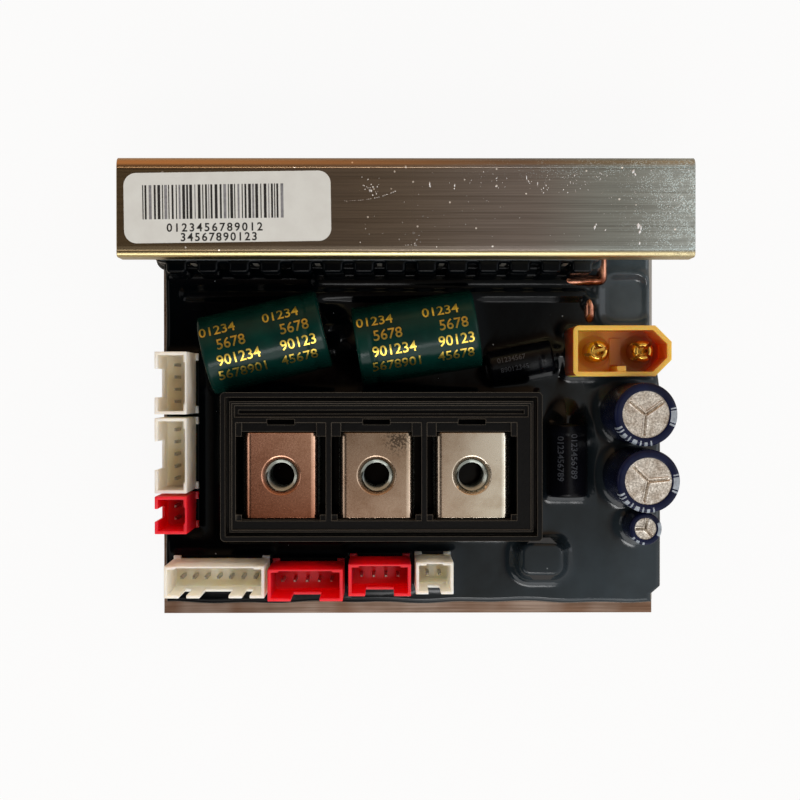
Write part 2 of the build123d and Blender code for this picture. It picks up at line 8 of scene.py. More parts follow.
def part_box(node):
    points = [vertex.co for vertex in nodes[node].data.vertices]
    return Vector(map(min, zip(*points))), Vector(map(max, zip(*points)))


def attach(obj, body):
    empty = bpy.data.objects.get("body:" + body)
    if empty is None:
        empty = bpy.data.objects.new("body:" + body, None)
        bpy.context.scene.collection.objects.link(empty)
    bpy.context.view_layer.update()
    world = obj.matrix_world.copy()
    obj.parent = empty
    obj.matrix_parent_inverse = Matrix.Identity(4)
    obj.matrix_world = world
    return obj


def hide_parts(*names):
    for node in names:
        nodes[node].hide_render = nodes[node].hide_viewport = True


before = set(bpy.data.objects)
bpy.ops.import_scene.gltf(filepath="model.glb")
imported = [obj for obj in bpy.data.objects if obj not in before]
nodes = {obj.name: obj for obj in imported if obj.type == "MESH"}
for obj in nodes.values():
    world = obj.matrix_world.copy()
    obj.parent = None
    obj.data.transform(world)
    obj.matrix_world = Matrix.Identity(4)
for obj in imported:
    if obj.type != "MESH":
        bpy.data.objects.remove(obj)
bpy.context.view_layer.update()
mm = 0.001  # the frame is in metres; every size below is in millimetres
print("frame loaded:", len(nodes), "nodes")


def cadBox(*names):
    # lowest and highest corner of one or more CAD nodes, in millimetres
    corners = [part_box(name) for name in names]
    low = [min(box[0][axis] for box in corners) / mm for axis in range(3)]
    high = [max(box[1][axis] for box in corners) / mm for axis in range(3)]
    return Vector(low), Vector(high)


def linearOf(hexText):
    # sRGB hex to the linear colour that shaders want
    channels = [int(hexText[at:at + 2], 16) / 255 for at in (1, 3, 5)]
    return tuple(c / 12.92 if c <= 0.04045 else ((c + 0.055) / 1.055) ** 2.4 for c in channels) + (1.0,)


def perMetre(sizeMm):
    # texture scale that gives a pattern of that size
    return 1 / (sizeMm * mm)


def feed(tree, socket, value):
    # a node gives its first live output, a hex string is a colour, anything else is the socket's own value
    if isinstance(value, bpy.types.Node):
        value = next(output for output in value.outputs if output.enabled)
    if isinstance(value, bpy.types.NodeSocket):
        tree.links.new(value, socket)
    else:
        socket.default_value = linearOf(value) if isinstance(value, str) else value


def addNode(tree, kind, *values, stops=(), ease=False, **settings):
    # values fill the node's live sockets in order; a setting is a socket's name or one of the node's own
    node = tree.nodes.new("ShaderNode" + kind)
    for key, value in settings.items():
        if key not in node.inputs:
            setattr(node, key, value)
        else:
            feed(tree, node.inputs[key], value)
    for socket, value in zip([socket for socket in node.inputs if socket.enabled], values):
        feed(tree, socket, value)
    if stops:
        node.color_ramp.interpolation = "EASE" if ease else "LINEAR"
        while len(node.color_ramp.elements) < len(stops):
            node.color_ramp.elements.new(0.5)
        for element, (position, colour) in zip(node.color_ramp.elements, stops):
            element.position = position
            element.color = linearOf(colour)
    return node


def startMaterial(name, colour, roughness, metallic=0.0, **sockets):
    material = bpy.data.materials.new(name)
    material.use_nodes = True
    tree = material.node_tree
    shader = tree.nodes["Principled BSDF"]
    shader.inputs["Base Color"].default_value = linearOf(colour)
    shader.inputs["Roughness"].default_value = roughness
    shader.inputs["Metallic"].default_value = metallic
    for key, value in sockets.items():
        shader.inputs[key.replace("_", " ")].default_value = value
    place = addNode(tree, "TexCoord").outputs["Object"]
    return material, tree, shader, place


def grid(rows):
    # faces between neighbouring rows of a grid given as lists of vertex numbers
    faces = []
    for lower, upper in zip(rows, rows[1:]):
        for index in range(len(lower) - 1):
            faces.append((lower[index], lower[index + 1], upper[index + 1], upper[index]))
    return faces


def newPiece(name, verts, faces):
    mesh = bpy.data.meshes.new(name)
    mesh.from_pydata([tuple(v) for v in verts], [], [tuple(f) for f in faces])
    mesh.update()
    piece = bpy.data.objects.new(name, mesh)
    bpy.context.collection.objects.link(piece)
    return piece


def applyModifiers(piece):
    bpy.context.view_layer.update()
    evaluated = piece.evaluated_get(bpy.context.evaluated_depsgraph_get())
    mesh = bpy.data.meshes.new_from_object(evaluated)
    piece.modifiers.clear()
    piece.data = mesh


def carve(piece, cutter, operation="DIFFERENCE"):
    modifier = piece.modifiers.new("cut", "BOOLEAN")
    modifier.operation = operation
    modifier.solver = "EXACT"
    modifier.use_self = True
    modifier.object = cutter
    applyModifiers(piece)
    bpy.data.objects.remove(cutter)


def faceOutward(piece, weld=0.0):
    # corners closer together than the weld become one first
    work = bmesh.new()
    work.from_mesh(piece.data)
    if weld:
        bmesh.ops.remove_doubles(work, verts=work.verts, dist=weld)
    bmesh.ops.recalc_face_normals(work, faces=work.faces)
    work.to_mesh(piece.data)
    work.free()


def softenEdges(piece, width, segments=2, angle=35):
    # doubled corners are welded first, since a bevel stops at them
    work = bmesh.new()
    work.from_mesh(piece.data)
    bmesh.ops.remove_doubles(work, verts=work.verts, dist=0.002)
    work.to_mesh(piece.data)
    work.free()
    modifier = piece.modifiers.new("soften", "BEVEL")
    modifier.width = width
    modifier.segments = segments
    modifier.limit_method = "ANGLE"
    modifier.angle_limit = radians(angle)
    modifier.use_clamp_overlap = True
    applyModifiers(piece)


def finishPiece(piece, material, replaced=(), smoothAngle=38, evenNormals=True):
    piece.data.transform(Matrix.Scale(mm, 4))
    piece.data.materials.clear()
    piece.data.materials.append(material)
    piece.data.shade_smooth()
    piece.data.set_sharp_from_angle(angle=radians(smoothAngle))
    if evenNormals:
        modifier = piece.modifiers.new("normals", "WEIGHTED_NORMAL")
        modifier.keep_sharp = True
        modifier.weight = 90
        applyModifiers(piece)
    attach(piece, "root")
    if replaced:
        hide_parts(*replaced)
    return piece


def boxes(name, corners):
    # one piece of separate blocks, each given as left, right, front, back, bottom, top
    verts, faces = [], []
    for left, right, front, back, bottom, top in corners:
        first = len(verts)
        verts += [(x, y, z) for z in (bottom, top) for x, y in
                  ((left, front), (right, front), (right, back), (left, back))]
        for face in ((3, 2, 1, 0), (4, 5, 6, 7), (0, 1, 5, 4), (1, 2, 6, 5), (2, 3, 7, 6), (3, 0, 4, 7)):
            faces.append([first + corner for corner in face])
    return newPiece(name, verts, faces)


def prism(name, outline, bottom, top):
    count = len(outline)
    verts = [(x, y, bottom) for x, y in outline] + [(x, y, top) for x, y in outline]
    faces = [list(range(count))[::-1], list(range(count, 2 * count))]
    faces += [(i, (i + 1) % count, count + (i + 1) % count, count + i) for i in range(count)]
    return newPiece(name, verts, faces)


def turned(name, profile, place, steps=96):
    # profile: radius and height from end to end; a radius of 0 closes it on the axis
    verts, rows, faces = [], [], []
    for radius, height in profile:
        if radius == 0:
            rows.append([len(verts)])
            verts.append((0, 0, height))
        else:
            rows.append(list(range(len(verts), len(verts) + steps)))
            verts += [(radius * cos(2 * pi * i / steps), radius * sin(2 * pi * i / steps), height)
                      for i in range(steps)]
    for lower, upper in zip(rows, rows[1:]):
        for index in range(steps):
            after = (index + 1) % steps
            if len(lower) == 1:
                faces.append((lower[0], upper[after], upper[index]))
            elif len(upper) == 1:
                faces.append((lower[index], lower[after], upper[0]))
            else:
                faces.append((lower[index], lower[after], upper[after], upper[index]))
    piece = newPiece(name, verts, faces)
    piece.data.transform(place)
    return piece


def arc(centreX, centreY, radius, fromDegrees, toDegrees, steps):
    angles = [radians(fromDegrees + (toDegrees - fromDegrees) * i / steps) for i in range(steps + 1)]
    return [(centreX + radius * cos(a), centreY + radius * sin(a)) for a in angles]


def roundedRectangle(left, right, front, back, radius, steps=6):
    return (arc(right - radius, front + radius, radius, -90, 0, steps)
            + arc(right - radius, back - radius, radius, 0, 90, steps)
            + arc(left + radius, back - radius, radius, 90, 180, steps)
            + arc(left + radius, front + radius, radius, 180, 270, steps))


def makeGrainedMetal(name, colour, roughness):
    # drawn or turned metal for small parts: plain colour broken by a faint fine grain
    material, tree, shader, place = startMaterial(name, colour, roughness, 1.0)
    grain = addNode(tree, "TexNoise", place, perMetre(0.4), 3.0, 0.55)
    shade = addNode(tree, "ValToRGB", grain, stops=[(0.35, "#9a9a9a"), (0.65, "#ffffff")])
    tone = addNode(tree, "Mix", 0.5, colour, shade, data_type="RGBA", blend_type="MULTIPLY")
    feed(tree, shader.inputs["Base Color"], tone)
    feed(tree, shader.inputs["Normal"], addNode(tree, "Bump", Distance=0.02 * mm, Height=grain))
    return material


def makeBarAluminium():
    # extruded aluminium, mill finish: die lines along the bar, handling scratches, frosted towards one end;
    # its colour along its length and on its two long edges is painted reflection
    material, tree, shader, place = startMaterial("extrudedMillAluminium", "#8d8272", 0.3, 1.0)
    x, y, z = addNode(tree, "SeparateXYZ", place).outputs
    low, high = cadBox("heatsink_bar")
    alongBar = addNode(tree, "MapRange", x, low.x * mm, high.x * mm, 0.0, 1.0)
    # painted reflection: brown at the left end, turning pale grey-green towards the right end
    tone = addNode(tree, "ValToRGB", alongBar, ease=True,
                   stops=[(0.0, "#9c8b6c"), (0.42, "#85796a"), (0.7, "#897f77"), (0.86, "#92958e"),
                          (1.0, "#b2b9b4")])
    # die lines half a millimetre apart, and between them finer ones drawn coarser than real so that they show
    coarse = addNode(tree, "Mapping", place, Scale=(0.005, 1.0, 1.0))
    dieLines = addNode(tree, "TexNoise", coarse, perMetre(0.5), 4.0, 0.7)
    shade = addNode(tree, "ValToRGB", dieLines, stops=[(0.3, "#b4aca4"), (0.52, "#ffffff"),
                                                       (0.72, "#c9c2ba")])
    tone = addNode(tree, "Mix", 0.6, tone, shade, data_type="RGBA", blend_type="MULTIPLY")
    thin = addNode(tree, "Mapping", place, Scale=(0.01, 1.0, 1.0))
    fineLines = addNode(tree, "TexNoise", thin, perMetre(0.16), 2.0, 0.6)
    shade = addNode(tree, "ValToRGB", fineLines, stops=[(0.35, "#d0d0d0"), (0.6, "#ffffff")])
    tone = addNode(tree, "Mix", 0.6, tone, shade, data_type="RGBA", blend_type="MULTIPLY")
    # frost: bright etched specks, denser towards the right end and along the back
    specks = addNode(tree, "TexVoronoi", place, perMetre(0.24))
    speckSize = addNode(tree, "MapRange", alongBar, 0.8, 1.0, 0.0, 0.5)
    rearStrip = addNode(tree, "MapRange", y, (high.y - 5.5) * mm, (high.y - 2.0) * mm, 0.0, 1.0)
    stripGrowth = addNode(tree, "MapRange", alongBar, 0.45, 0.9, 0.0, 0.36)
    stripSize = addNode(tree, "Math", rearStrip, stripGrowth, operation="MULTIPLY")
    speckSize = addNode(tree, "Math", speckSize, stripSize, operation="MAXIMUM")
    frost = addNode(tree, "Math", specks, speckSize, operation="LESS_THAN")
    patches = addNode(tree, "TexNoise", place, perMetre(1.8), 3.0, 0.55)
    patches = addNode(tree, "MapRange", patches, 0.38, 0.55, 0.0, 1.0)
    frost = addNode(tree, "Math", frost, patches, operation="MULTIPLY")
    share = addNode(tree, "Math", frost, 0.5, operation="MULTIPLY")
    tone = addNode(tree, "Mix", share, tone, "#e2f4f6", data_type="RGBA")
    # scattered nicks, about a third of a millimetre
    nicks = addNode(tree, "TexVoronoi", place, perMetre(2.3))
    nick = addNode(tree, "Math", nicks, 0.07, operation="LESS_THAN")
    share = addNode(tree, "Math", nick, 0.9, operation="MULTIPLY")
    tone = addNode(tree, "Mix", share, tone, "#fffaf0", data_type="RGBA")
    # painted reflection: the two rounded long edges are painted bright, warm at the left of the back one
    rearEdgeReflection = addNode(tree, "MapRange", y, (high.y - 1.9) * mm, (high.y - 1.5) * mm, 0.0, 1.0)
    fading = addNode(tree, "MapRange", alongBar, 0.1, 0.7, 0.8, 0.0)
    rearEdgeReflection = addNode(tree, "Math", rearEdgeReflection, fading, operation="MULTIPLY")
    tone = addNode(tree, "Mix", rearEdgeReflection, tone, "#c89a6c", data_type="RGBA")
    # painted reflection: a pale band along the front rounded edge
    frontEdge = addNode(tree, "MapRange", y, (low.y + 0.8) * mm, (low.y + 0.95) * mm, 0.8, 0.0)
    tone = addNode(tree, "Mix", frontEdge, tone, "#c9b888", data_type="RGBA")
    feed(tree, shader.inputs["Base Color"], tone)
    rough = addNode(tree, "MapRange", alongBar, 0.5, 1.0, 0.27, 0.42)
    rougher = addNode(tree, "Math", frost, 0.25, operation="MULTIPLY")
    feed(tree, shader.inputs["Roughness"], addNode(tree, "Math", rough, rougher, operation="ADD"))
    raised = addNode(tree, "Math", frost, 0.6, operation="MULTIPLY")
    height = addNode(tree, "Math", dieLines, raised, operation="ADD")
    feed(tree, shader.inputs["Normal"], addNode(tree, "Bump", Distance=0.012 * mm, Height=height))
    return material


def makePlateAluminium():
    # rolled aluminium sheet: fine straight grain along its length, brownish film from handling
    material, tree, shader, place = startMaterial("rolledAluminium", "#a08672", 0.38, 1.0)
    drawnOut = addNode(tree, "Mapping", place, Scale=(0.02, 1.0, 1.0))
    grain = addNode(tree, "TexNoise", drawnOut, perMetre(0.3), 3.0, 0.55)
    cloud = addNode(tree, "TexNoise", place, perMetre(9.0), 2.0, 0.55)
    tone = addNode(tree, "ValToRGB", cloud, stops=[(0.35, "#7e6250"), (0.6, "#9a8678")])
    lines = addNode(tree, "ValToRGB", grain, stops=[(0.35, "#c4bcb4"), (0.6, "#ffffff")])
    tone = addNode(tree, "Mix", 0.8, tone, lines, data_type="RGBA", blend_type="MULTIPLY")
    feed(tree, shader.inputs["Base Color"], tone)
    feed(tree, shader.inputs["Normal"], addNode(tree, "Bump", Distance=0.01 * mm, Height=grain))
    return material


def makePotting():
    # black epoxy, poured and cured glossy: long soft waves, a few tiny bubbles, and a painted reflection that
    # turns it grey towards the right and the front and in the basin
    material, tree, shader, place = startMaterial("pouredEpoxy", "#040608", 0.13, 0.0, IOR=1.4)
    x, y, z = addNode(tree, "SeparateXYZ", place).outputs
    low, high = cadBox("potting_compound")
    # the specular strength is set by place: low to the left and towards the bar, higher at the right and
    # front, which paints dark and bright reflections there
    slope = addNode(tree, "Math", y, 0.6, operation="MULTIPLY")
    slant = addNode(tree, "Math", x, slope, operation="SUBTRACT")
    gloss = addNode(tree, "Math", addNode(tree, "MapRange", slant, 14 * mm, 30 * mm, 0.1, 0.4),
                    addNode(tree, "MapRange", x, 26 * mm, 36 * mm, 0.1, 0.5), operation="MAXIMUM")
    feed(tree, shader.inputs["Specular IOR Level"], gloss)
    # painted reflection: a grey-blue tone growing towards the right and the front, strongest along the
    # right-hand side, broken by soft clouds
    paintedReflection = addNode(tree, "Math", addNode(tree, "MapRange", x, -10 * mm, high.x * mm, 0.0, 1.0),
                   addNode(tree, "MapRange", y, 0.0, low.y * mm, 0.0, 1.0), operation="MULTIPLY")
    corner = addNode(tree, "MapRange", x, 28 * mm, 38 * mm, 0.0, 0.9)
    paintedReflection = addNode(tree, "Math", paintedReflection, corner, operation="MAXIMUM")
    cloud = addNode(tree, "TexNoise", place, perMetre(7.0), 3.0, 0.55)
    cloud = addNode(tree, "MapRange", cloud, 0.3, 0.7, 0.55, 1.0)
    paintedReflection = addNode(tree, "Math", paintedReflection, cloud, operation="MULTIPLY")
    tone = addNode(tree, "Mix", paintedReflection, "#020406", "#2e383e", data_type="RGBA")
    # painted reflection: a lighter grey in the basin at the back right corner
    basin = addNode(tree, "Math", addNode(tree, "MapRange", x, 30 * mm, 37 * mm, 0.0, 1.0),
                    addNode(tree, "MapRange", y, 8 * mm, 14 * mm, 0.0, 1.0), operation="MULTIPLY")
    basin = addNode(tree, "Math", basin, cloud, operation="MULTIPLY")
    tone = addNode(tree, "Mix", basin, tone, "#4c585e", data_type="RGBA")
    dust = addNode(tree, "TexVoronoi", place, perMetre(3.1))
    speck = addNode(tree, "Math", dust, 0.045, operation="LESS_THAN")
    speck = addNode(tree, "Math", speck, 0.7, operation="MULTIPLY")
    tone = addNode(tree, "Mix", speck, tone, "#8d9294", data_type="RGBA")
    feed(tree, shader.inputs["Base Color"], tone)
    wave = addNode(tree, "TexNoise", place, perMetre(3.0), 2.0, 0.55)
    feed(tree, shader.inputs["Normal"], addNode(tree, "Bump", Strength=0.6, Distance=0.05 * mm, Height=wave))
    return material


def makeFramePlastic():
    # glass-filled polyester, moulded black: satin skin with a fine mould texture, and a painted highlight
    # that makes its edges a little paler
    material, tree, shader, place = startMaterial("mouldedPolyester", "#0d0c0c", 0.38, 0.0, IOR=1.57)
    shader.inputs["Specular IOR Level"].default_value = 0.09
    grain = addNode(tree, "TexNoise", place, perMetre(0.35), 3.0, 0.55)
    skin = addNode(tree, "ValToRGB", grain, stops=[(0.35, "#050505"), (0.7, "#0b0a0a")])
    # painted highlight: paler where the rounded shading normal turns away from the flat one, along every edge
    rounded = addNode(tree, "Bevel", Radius=0.16 * mm, samples=6)
    flat = addNode(tree, "NewGeometry").outputs["True Normal"]
    likeness = addNode(tree, "VectorMath", rounded, flat, operation="DOT_PRODUCT")
    paintedEdgeHighlight = addNode(tree, "MapRange", likeness, 0.985, 0.9, 0.0, 1.0)
    tone = addNode(tree, "Mix", paintedEdgeHighlight, skin, "#524c43", data_type="RGBA")
    feed(tree, shader.inputs["Base Color"], tone)
    feed(tree, shader.inputs["Normal"], addNode(tree, "Bump", Distance=0.02 * mm, Height=grain))
    return material


def makeNickel():
    # nickel-plated steel, stamped: soft mirror, small pits, and a painted reflection that tints the faces
    # warm brown on the first block and pale on the last
    material, tree, shader, place = startMaterial("stampedNickelPlate", "#cdbda4", 0.24, 1.0)
    x, y, z = addNode(tree, "SeparateXYZ", place).outputs
    low, high = cadBox("phase_terminal_1", "phase_terminal_3")
    across = addNode(tree, "MapRange", x, low.x * mm, high.x * mm, 0.0, 1.0)
    # painted reflection: the face colour across the three blocks, blended from a front tint to a back tint
    front = addNode(tree, "ValToRGB", across, ease=True,
                    stops=[(0.0, "#9a6046"), (0.26, "#a46c52"), (0.4, "#c8aa92"), (0.62, "#ccb49e"),
                           (1.0, "#e0d6c2")])
    rear = addNode(tree, "ValToRGB", across, ease=True,
                   stops=[(0.0, "#e0aa8e"), (0.26, "#e0b498"), (0.4, "#b09c88"), (0.62, "#a8947e"),
                          (1.0, "#e4dccc")])
    backwards = addNode(tree, "MapRange", y, low.y * mm, high.y * mm, 0.0, 1.0)
    face = addNode(tree, "Mix", backwards, front, rear, data_type="RGBA")
    # in the bore the cut thread shows bare; dark bands 0.8 mm apart are painted shade for the thread's roots
    turns = addNode(tree, "Math", z, 1.0 / (0.8 * mm), operation="MULTIPLY")
    root = addNode(tree, "Math", turns, operation="FRACT")
    thread = addNode(tree, "ValToRGB", root,
                     stops=[(0.0, "#3c413e"), (0.4, "#b4bab2"), (0.7, "#b4bab2"), (1.0, "#3c413e")])
    boreTop = addNode(tree, "MapRange", z, (high.z - 1.0) * mm, (high.z - 0.8) * mm, 0.0, 1.0)
    bore = addNode(tree, "Mix", boreTop, thread, "#8a8e86", data_type="RGBA")
    skin = addNode(tree, "MapRange", z, (high.z - 0.75) * mm, (high.z - 0.25) * mm, 0.0, 1.0)
    tone = addNode(tree, "Mix", skin, bore, face, data_type="RGBA")
    cut = addNode(tree, "MapRange", z, (high.z - 1.2) * mm, (high.z - 0.8) * mm, 0.4, 1.0)
    feed(tree, shader.inputs["Metallic"], cut)
    cloud = addNode(tree, "TexNoise", place, perMetre(3.5), 3.0, 0.55)
    shade = addNode(tree, "ValToRGB", cloud, stops=[(0.3, "#c9b8a8"), (0.55, "#ffffff")])
    tone = addNode(tree, "Mix", 0.45, tone, shade, data_type="RGBA", blend_type="MULTIPLY")
    pits = addNode(tree, "TexVoronoi", place, perMetre(0.8))
    pit = addNode(tree, "Math", pits, 0.1, operation="LESS_THAN")
    patch = addNode(tree, "TexNoise", place, perMetre(2.0), 3.0, 0.55)
    patch = addNode(tree, "MapRange", patch, 0.5, 0.62, 0.0, 1.0)
    pit = addNode(tree, "Math", pit, patch, operation="MULTIPLY")
    share = addNode(tree, "Math", pit, 0.5, operation="MULTIPLY")
    tone = addNode(tree, "Mix", share, tone, "#5d5048", data_type="RGBA")
    # soot from a loose lug, on the back corner of the middle block
    corner = (cadBox("phase_terminal_2")[1] - Vector((2.6, 1.1, 0))) * mm
    away = addNode(tree, "VectorMath", place, corner, operation="DISTANCE")
    reach = addNode(tree, "MapRange", away, 0.4 * mm, 3.6 * mm, 0.56, 0.34)
    grit = addNode(tree, "TexNoise", place, perMetre(0.3), 4.0, 0.55)
    soot = addNode(tree, "Math", grit, reach, operation="LESS_THAN")
    near = addNode(tree, "MapRange", away, 1.0 * mm, 3.4 * mm, 0.7, 0.0)
    share = addNode(tree, "Math", soot, near, operation="MULTIPLY")
    tone = addNode(tree, "Mix", share, tone, "#1c1713", data_type="RGBA")
    feed(tree, shader.inputs["Base Color"], tone)
    fine = addNode(tree, "TexNoise", place, perMetre(0.25), 3.0, 0.55)
    feed(tree, shader.inputs["Roughness"], addNode(tree, "MapRange", fine, 0.3, 0.7, 0.2, 0.3))
    height = addNode(tree, "Math", cloud, pit, operation="SUBTRACT")
    bump = addNode(tree, "Bump", Strength=0.6, Distance=0.008 * mm, Height=height)
    feed(tree, shader.inputs["Normal"], bump)
    return material


def makeHeaderNylon(name, colour, shadow, glow):
    # nylon, injection moulded: matt skin that lets a little light through its thin walls
    material, tree, shader, place = startMaterial(name, colour, 0.48, 0.0, IOR=1.53)
    shader.inputs["Subsurface Weight"].default_value = 0.95
    shader.inputs["Subsurface Radius"].default_value = glow
    shader.inputs["Subsurface Scale"].default_value = 3.5 * mm
    cloud = addNode(tree, "TexNoise", place, perMetre(2.2), 3.0, 0.55)
    share = addNode(tree, "MapRange", cloud, 0.3, 0.7, 0.0, 0.5)
    feed(tree, shader.inputs["Base Color"], addNode(tree, "Mix", share, colour, shadow, data_type="RGBA"))
    skin = addNode(tree, "TexNoise", place, perMetre(0.3), 3.0, 0.55)
    feed(tree, shader.inputs["Normal"], addNode(tree, "Bump", Distance=0.015 * mm, Height=skin))
    return material


def makeInletNylon():
    # amber nylon, moulded and translucent; its rim is painted lighter, its inside runs from bright amber at
    # the left to red-brown at the right as painted light, and painted shade darkens it towards the foot
    material, tree, shader, place = startMaterial("mouldedAmberNylon", "#d98f1f", 0.35, 0.0, IOR=1.53)
    shader.inputs["Subsurface Weight"].default_value = 0.9
    shader.inputs["Subsurface Radius"].default_value = (1.0, 0.45, 0.12)
    shader.inputs["Subsurface Scale"].default_value = 5.0 * mm
    x, y, z = addNode(tree, "SeparateXYZ", place).outputs
    low, high = cadBox("inlet_housing")
    across = addNode(tree, "MapRange", x, low.x * mm, high.x * mm, 0.0, 1.0)
    # painted light: the inside is brightest just right of the left wall and darkens to red-brown towards the
    # right
    inside = addNode(tree, "ValToRGB", across, ease=True,
                     stops=[(0.0, "#6e3414"), (0.02, "#6e3414"), (0.04, "#ffcf48"), (0.35, "#ffb63e"),
                            (0.62, "#d08a44"), (1.0, "#b87848")])
    # painted highlight: the top 1.2 mm of the walls is painted a lighter amber
    depth = addNode(tree, "MapRange", z, (high.z - 1.2) * mm, high.z * mm, 0.0, 1.0)
    tone = addNode(tree, "Mix", depth, inside, "#eaad4e", data_type="RGBA")
    # painted shade: darker brown towards the bottom of the cavity
    foot = addNode(tree, "MapRange", z, low.z * mm, (low.z + 6.0) * mm, 0.75, 0.0)
    feed(tree, shader.inputs["Base Color"], addNode(tree, "Mix", foot, tone, "#5a2a10", data_type="RGBA"))
    skin = addNode(tree, "TexNoise", place, perMetre(0.4), 3.0, 0.55)
    feed(tree, shader.inputs["Normal"], addNode(tree, "Bump", Distance=0.02 * mm, Height=skin))
    return material


def makeSleeve(name, colour, sheen, roughness):
    # PVC sleeve, heat-shrunk: glossy film with faint swellings where it follows the can
    material, tree, shader, place = startMaterial(name, colour, roughness, 0.0, IOR=1.45)
    shader.inputs["Specular IOR Level"].default_value = 0.16
    cloud = addNode(tree, "TexNoise", place, perMetre(4.0), 3.0, 0.55)
    share = addNode(tree, "MapRange", cloud, 0.35, 0.7, 0.0, 1.0)
    feed(tree, shader.inputs["Base Color"], addNode(tree, "Mix", share, colour, sheen, data_type="RGBA"))
    swelling = addNode(tree, "TexNoise", place, perMetre(1.6), 2.0, 0.55)
    feed(tree, shader.inputs["Normal"], addNode(tree, "Bump", Distance=0.04 * mm, Height=swelling))
    return material


def makeInk(name, colour, metallic, roughness):
    # ink, printed: thin, a little uneven where the film stretched under it
    material, tree, shader, place = startMaterial(name, colour, roughness, metallic)
    worn = addNode(tree, "TexNoise", place, perMetre(0.7), 3.0, 0.55)
    worn = addNode(tree, "MapRange", worn, 0.3, 0.7, 0.55, 1.0)
    tone = addNode(tree, "Mix", 1.0, colour, worn, data_type="RGBA", blend_type="MULTIPLY")
    feed(tree, shader.inputs["Base Color"], tone)
    return material


def makeCanAluminium():
    # aluminium can end, pressed and etched: matt silver with a crystalline speckle
    material, tree, shader, place = startMaterial("etchedAluminium", "#c9c0b4", 0.42, 1.0)
    speckle = addNode(tree, "TexNoise", place, perMetre(0.28), 4.0, 0.75)
    tone = addNode(tree, "ValToRGB", speckle, stops=[(0.36, "#9d958b"), (0.5, "#c9c1b5"), (0.64, "#f3ede3")])
    cloud = addNode(tree, "TexNoise", place, perMetre(1.7), 2.0, 0.55)
    shade = addNode(tree, "ValToRGB", cloud, stops=[(0.35, "#cfc6be"), (0.6, "#ffffff")])
    tone = addNode(tree, "Mix", 0.8, tone, shade, data_type="RGBA", blend_type="MULTIPLY")
    feed(tree, shader.inputs["Base Color"], tone)
    feed(tree, shader.inputs["Normal"], addNode(tree, "Bump", Distance=0.03 * mm, Height=speckle))
    return material


def makeLabelPaper():
    # thermal label paper, coated: cool white, even, with the faintest mottling
    material, tree, shader, place = startMaterial("coatedLabelPaper", "#d0d3ce", 0.5)
    mottling = addNode(tree, "TexNoise", place, perMetre(3.0), 3.0, 0.55)
    tone = addNode(tree, "ValToRGB", mottling, stops=[(0.3, "#cbcdc9"), (0.7, "#d2d5d1")])
    feed(tree, shader.inputs["Base Color"], tone)
    fibres = addNode(tree, "TexNoise", place, perMetre(0.3), 3.0, 0.55)
    feed(tree, shader.inputs["Normal"], addNode(tree, "Bump", Distance=0.004 * mm, Height=fibres))
    return material


def makeCopper():
    # bare copper wire, drawn: bright orange metal browned by soldering heat
    material, tree, shader, place = startMaterial("drawnCopper", "#d98a5f", 0.26, 1.0)
    heat = addNode(tree, "TexNoise", place, perMetre(2.4), 3.0, 0.55)
    tone = addNode(tree, "ValToRGB", heat, stops=[(0.35, "#6e3f2e"), (0.6, "#c98e74")])
    feed(tree, shader.inputs["Base Color"], tone)
    drawMarks = addNode(tree, "TexNoise", place, perMetre(0.3), 3.0, 0.55)
    feed(tree, shader.inputs["Normal"], addNode(tree, "Bump", Distance=0.01 * mm, Height=drawMarks))
    return material


def makeTransistorFinish():
    # moulded epoxy body, tinned tab and leads: one node holds all three, so the finish follows their places
    material, tree, shader, place = startMaterial("mouldedEpoxyAndTin", "#151515", 0.5)
    x, y, z = addNode(tree, "SeparateXYZ", place).outputs
    high = cadBox("power_transistor_1")[1]
    isTab = addNode(tree, "Math", z, (high.z - 1.32) * mm, operation="GREATER_THAN")
    isLead = addNode(tree, "Math", y, (high.y - 15.02) * mm, operation="LESS_THAN")
    isMetal = addNode(tree, "Math", isTab, isLead, operation="MAXIMUM")
    grain = addNode(tree, "TexNoise", place, perMetre(0.3), 3.0, 0.55)
    body = addNode(tree, "ValToRGB", grain, stops=[(0.3, "#0d0d0e"), (0.7, "#1c1b1b")])
    feed(tree, shader.inputs["Base Color"], addNode(tree, "Mix", isMetal, body, "#b9b4aa", data_type="RGBA"))
    feed(tree, shader.inputs["Metallic"], isMetal)
    skin = addNode(tree, "TexNoise", place, perMetre(0.25), 3.0, 0.55)
    feed(tree, shader.inputs["Normal"], addNode(tree, "Bump", Distance=0.01 * mm, Height=skin))
    return material


def makeMatt(name, colour, dark, roughness, sizeMm):
    # a dull moulded, pressed or woven part: two close tones in a fine random grain
    material, tree, shader, place = startMaterial(name, colour, roughness)
    grain = addNode(tree, "TexNoise", place, perMetre(sizeMm), 3.0, 0.55)
    tone = addNode(tree, "ValToRGB", grain, stops=[(0.3, dark), (0.7, colour)])
    feed(tree, shader.inputs["Base Color"], tone)
    feed(tree, shader.inputs["Normal"], addNode(tree, "Bump", Distance=0.02 * mm, Height=grain))
    return material


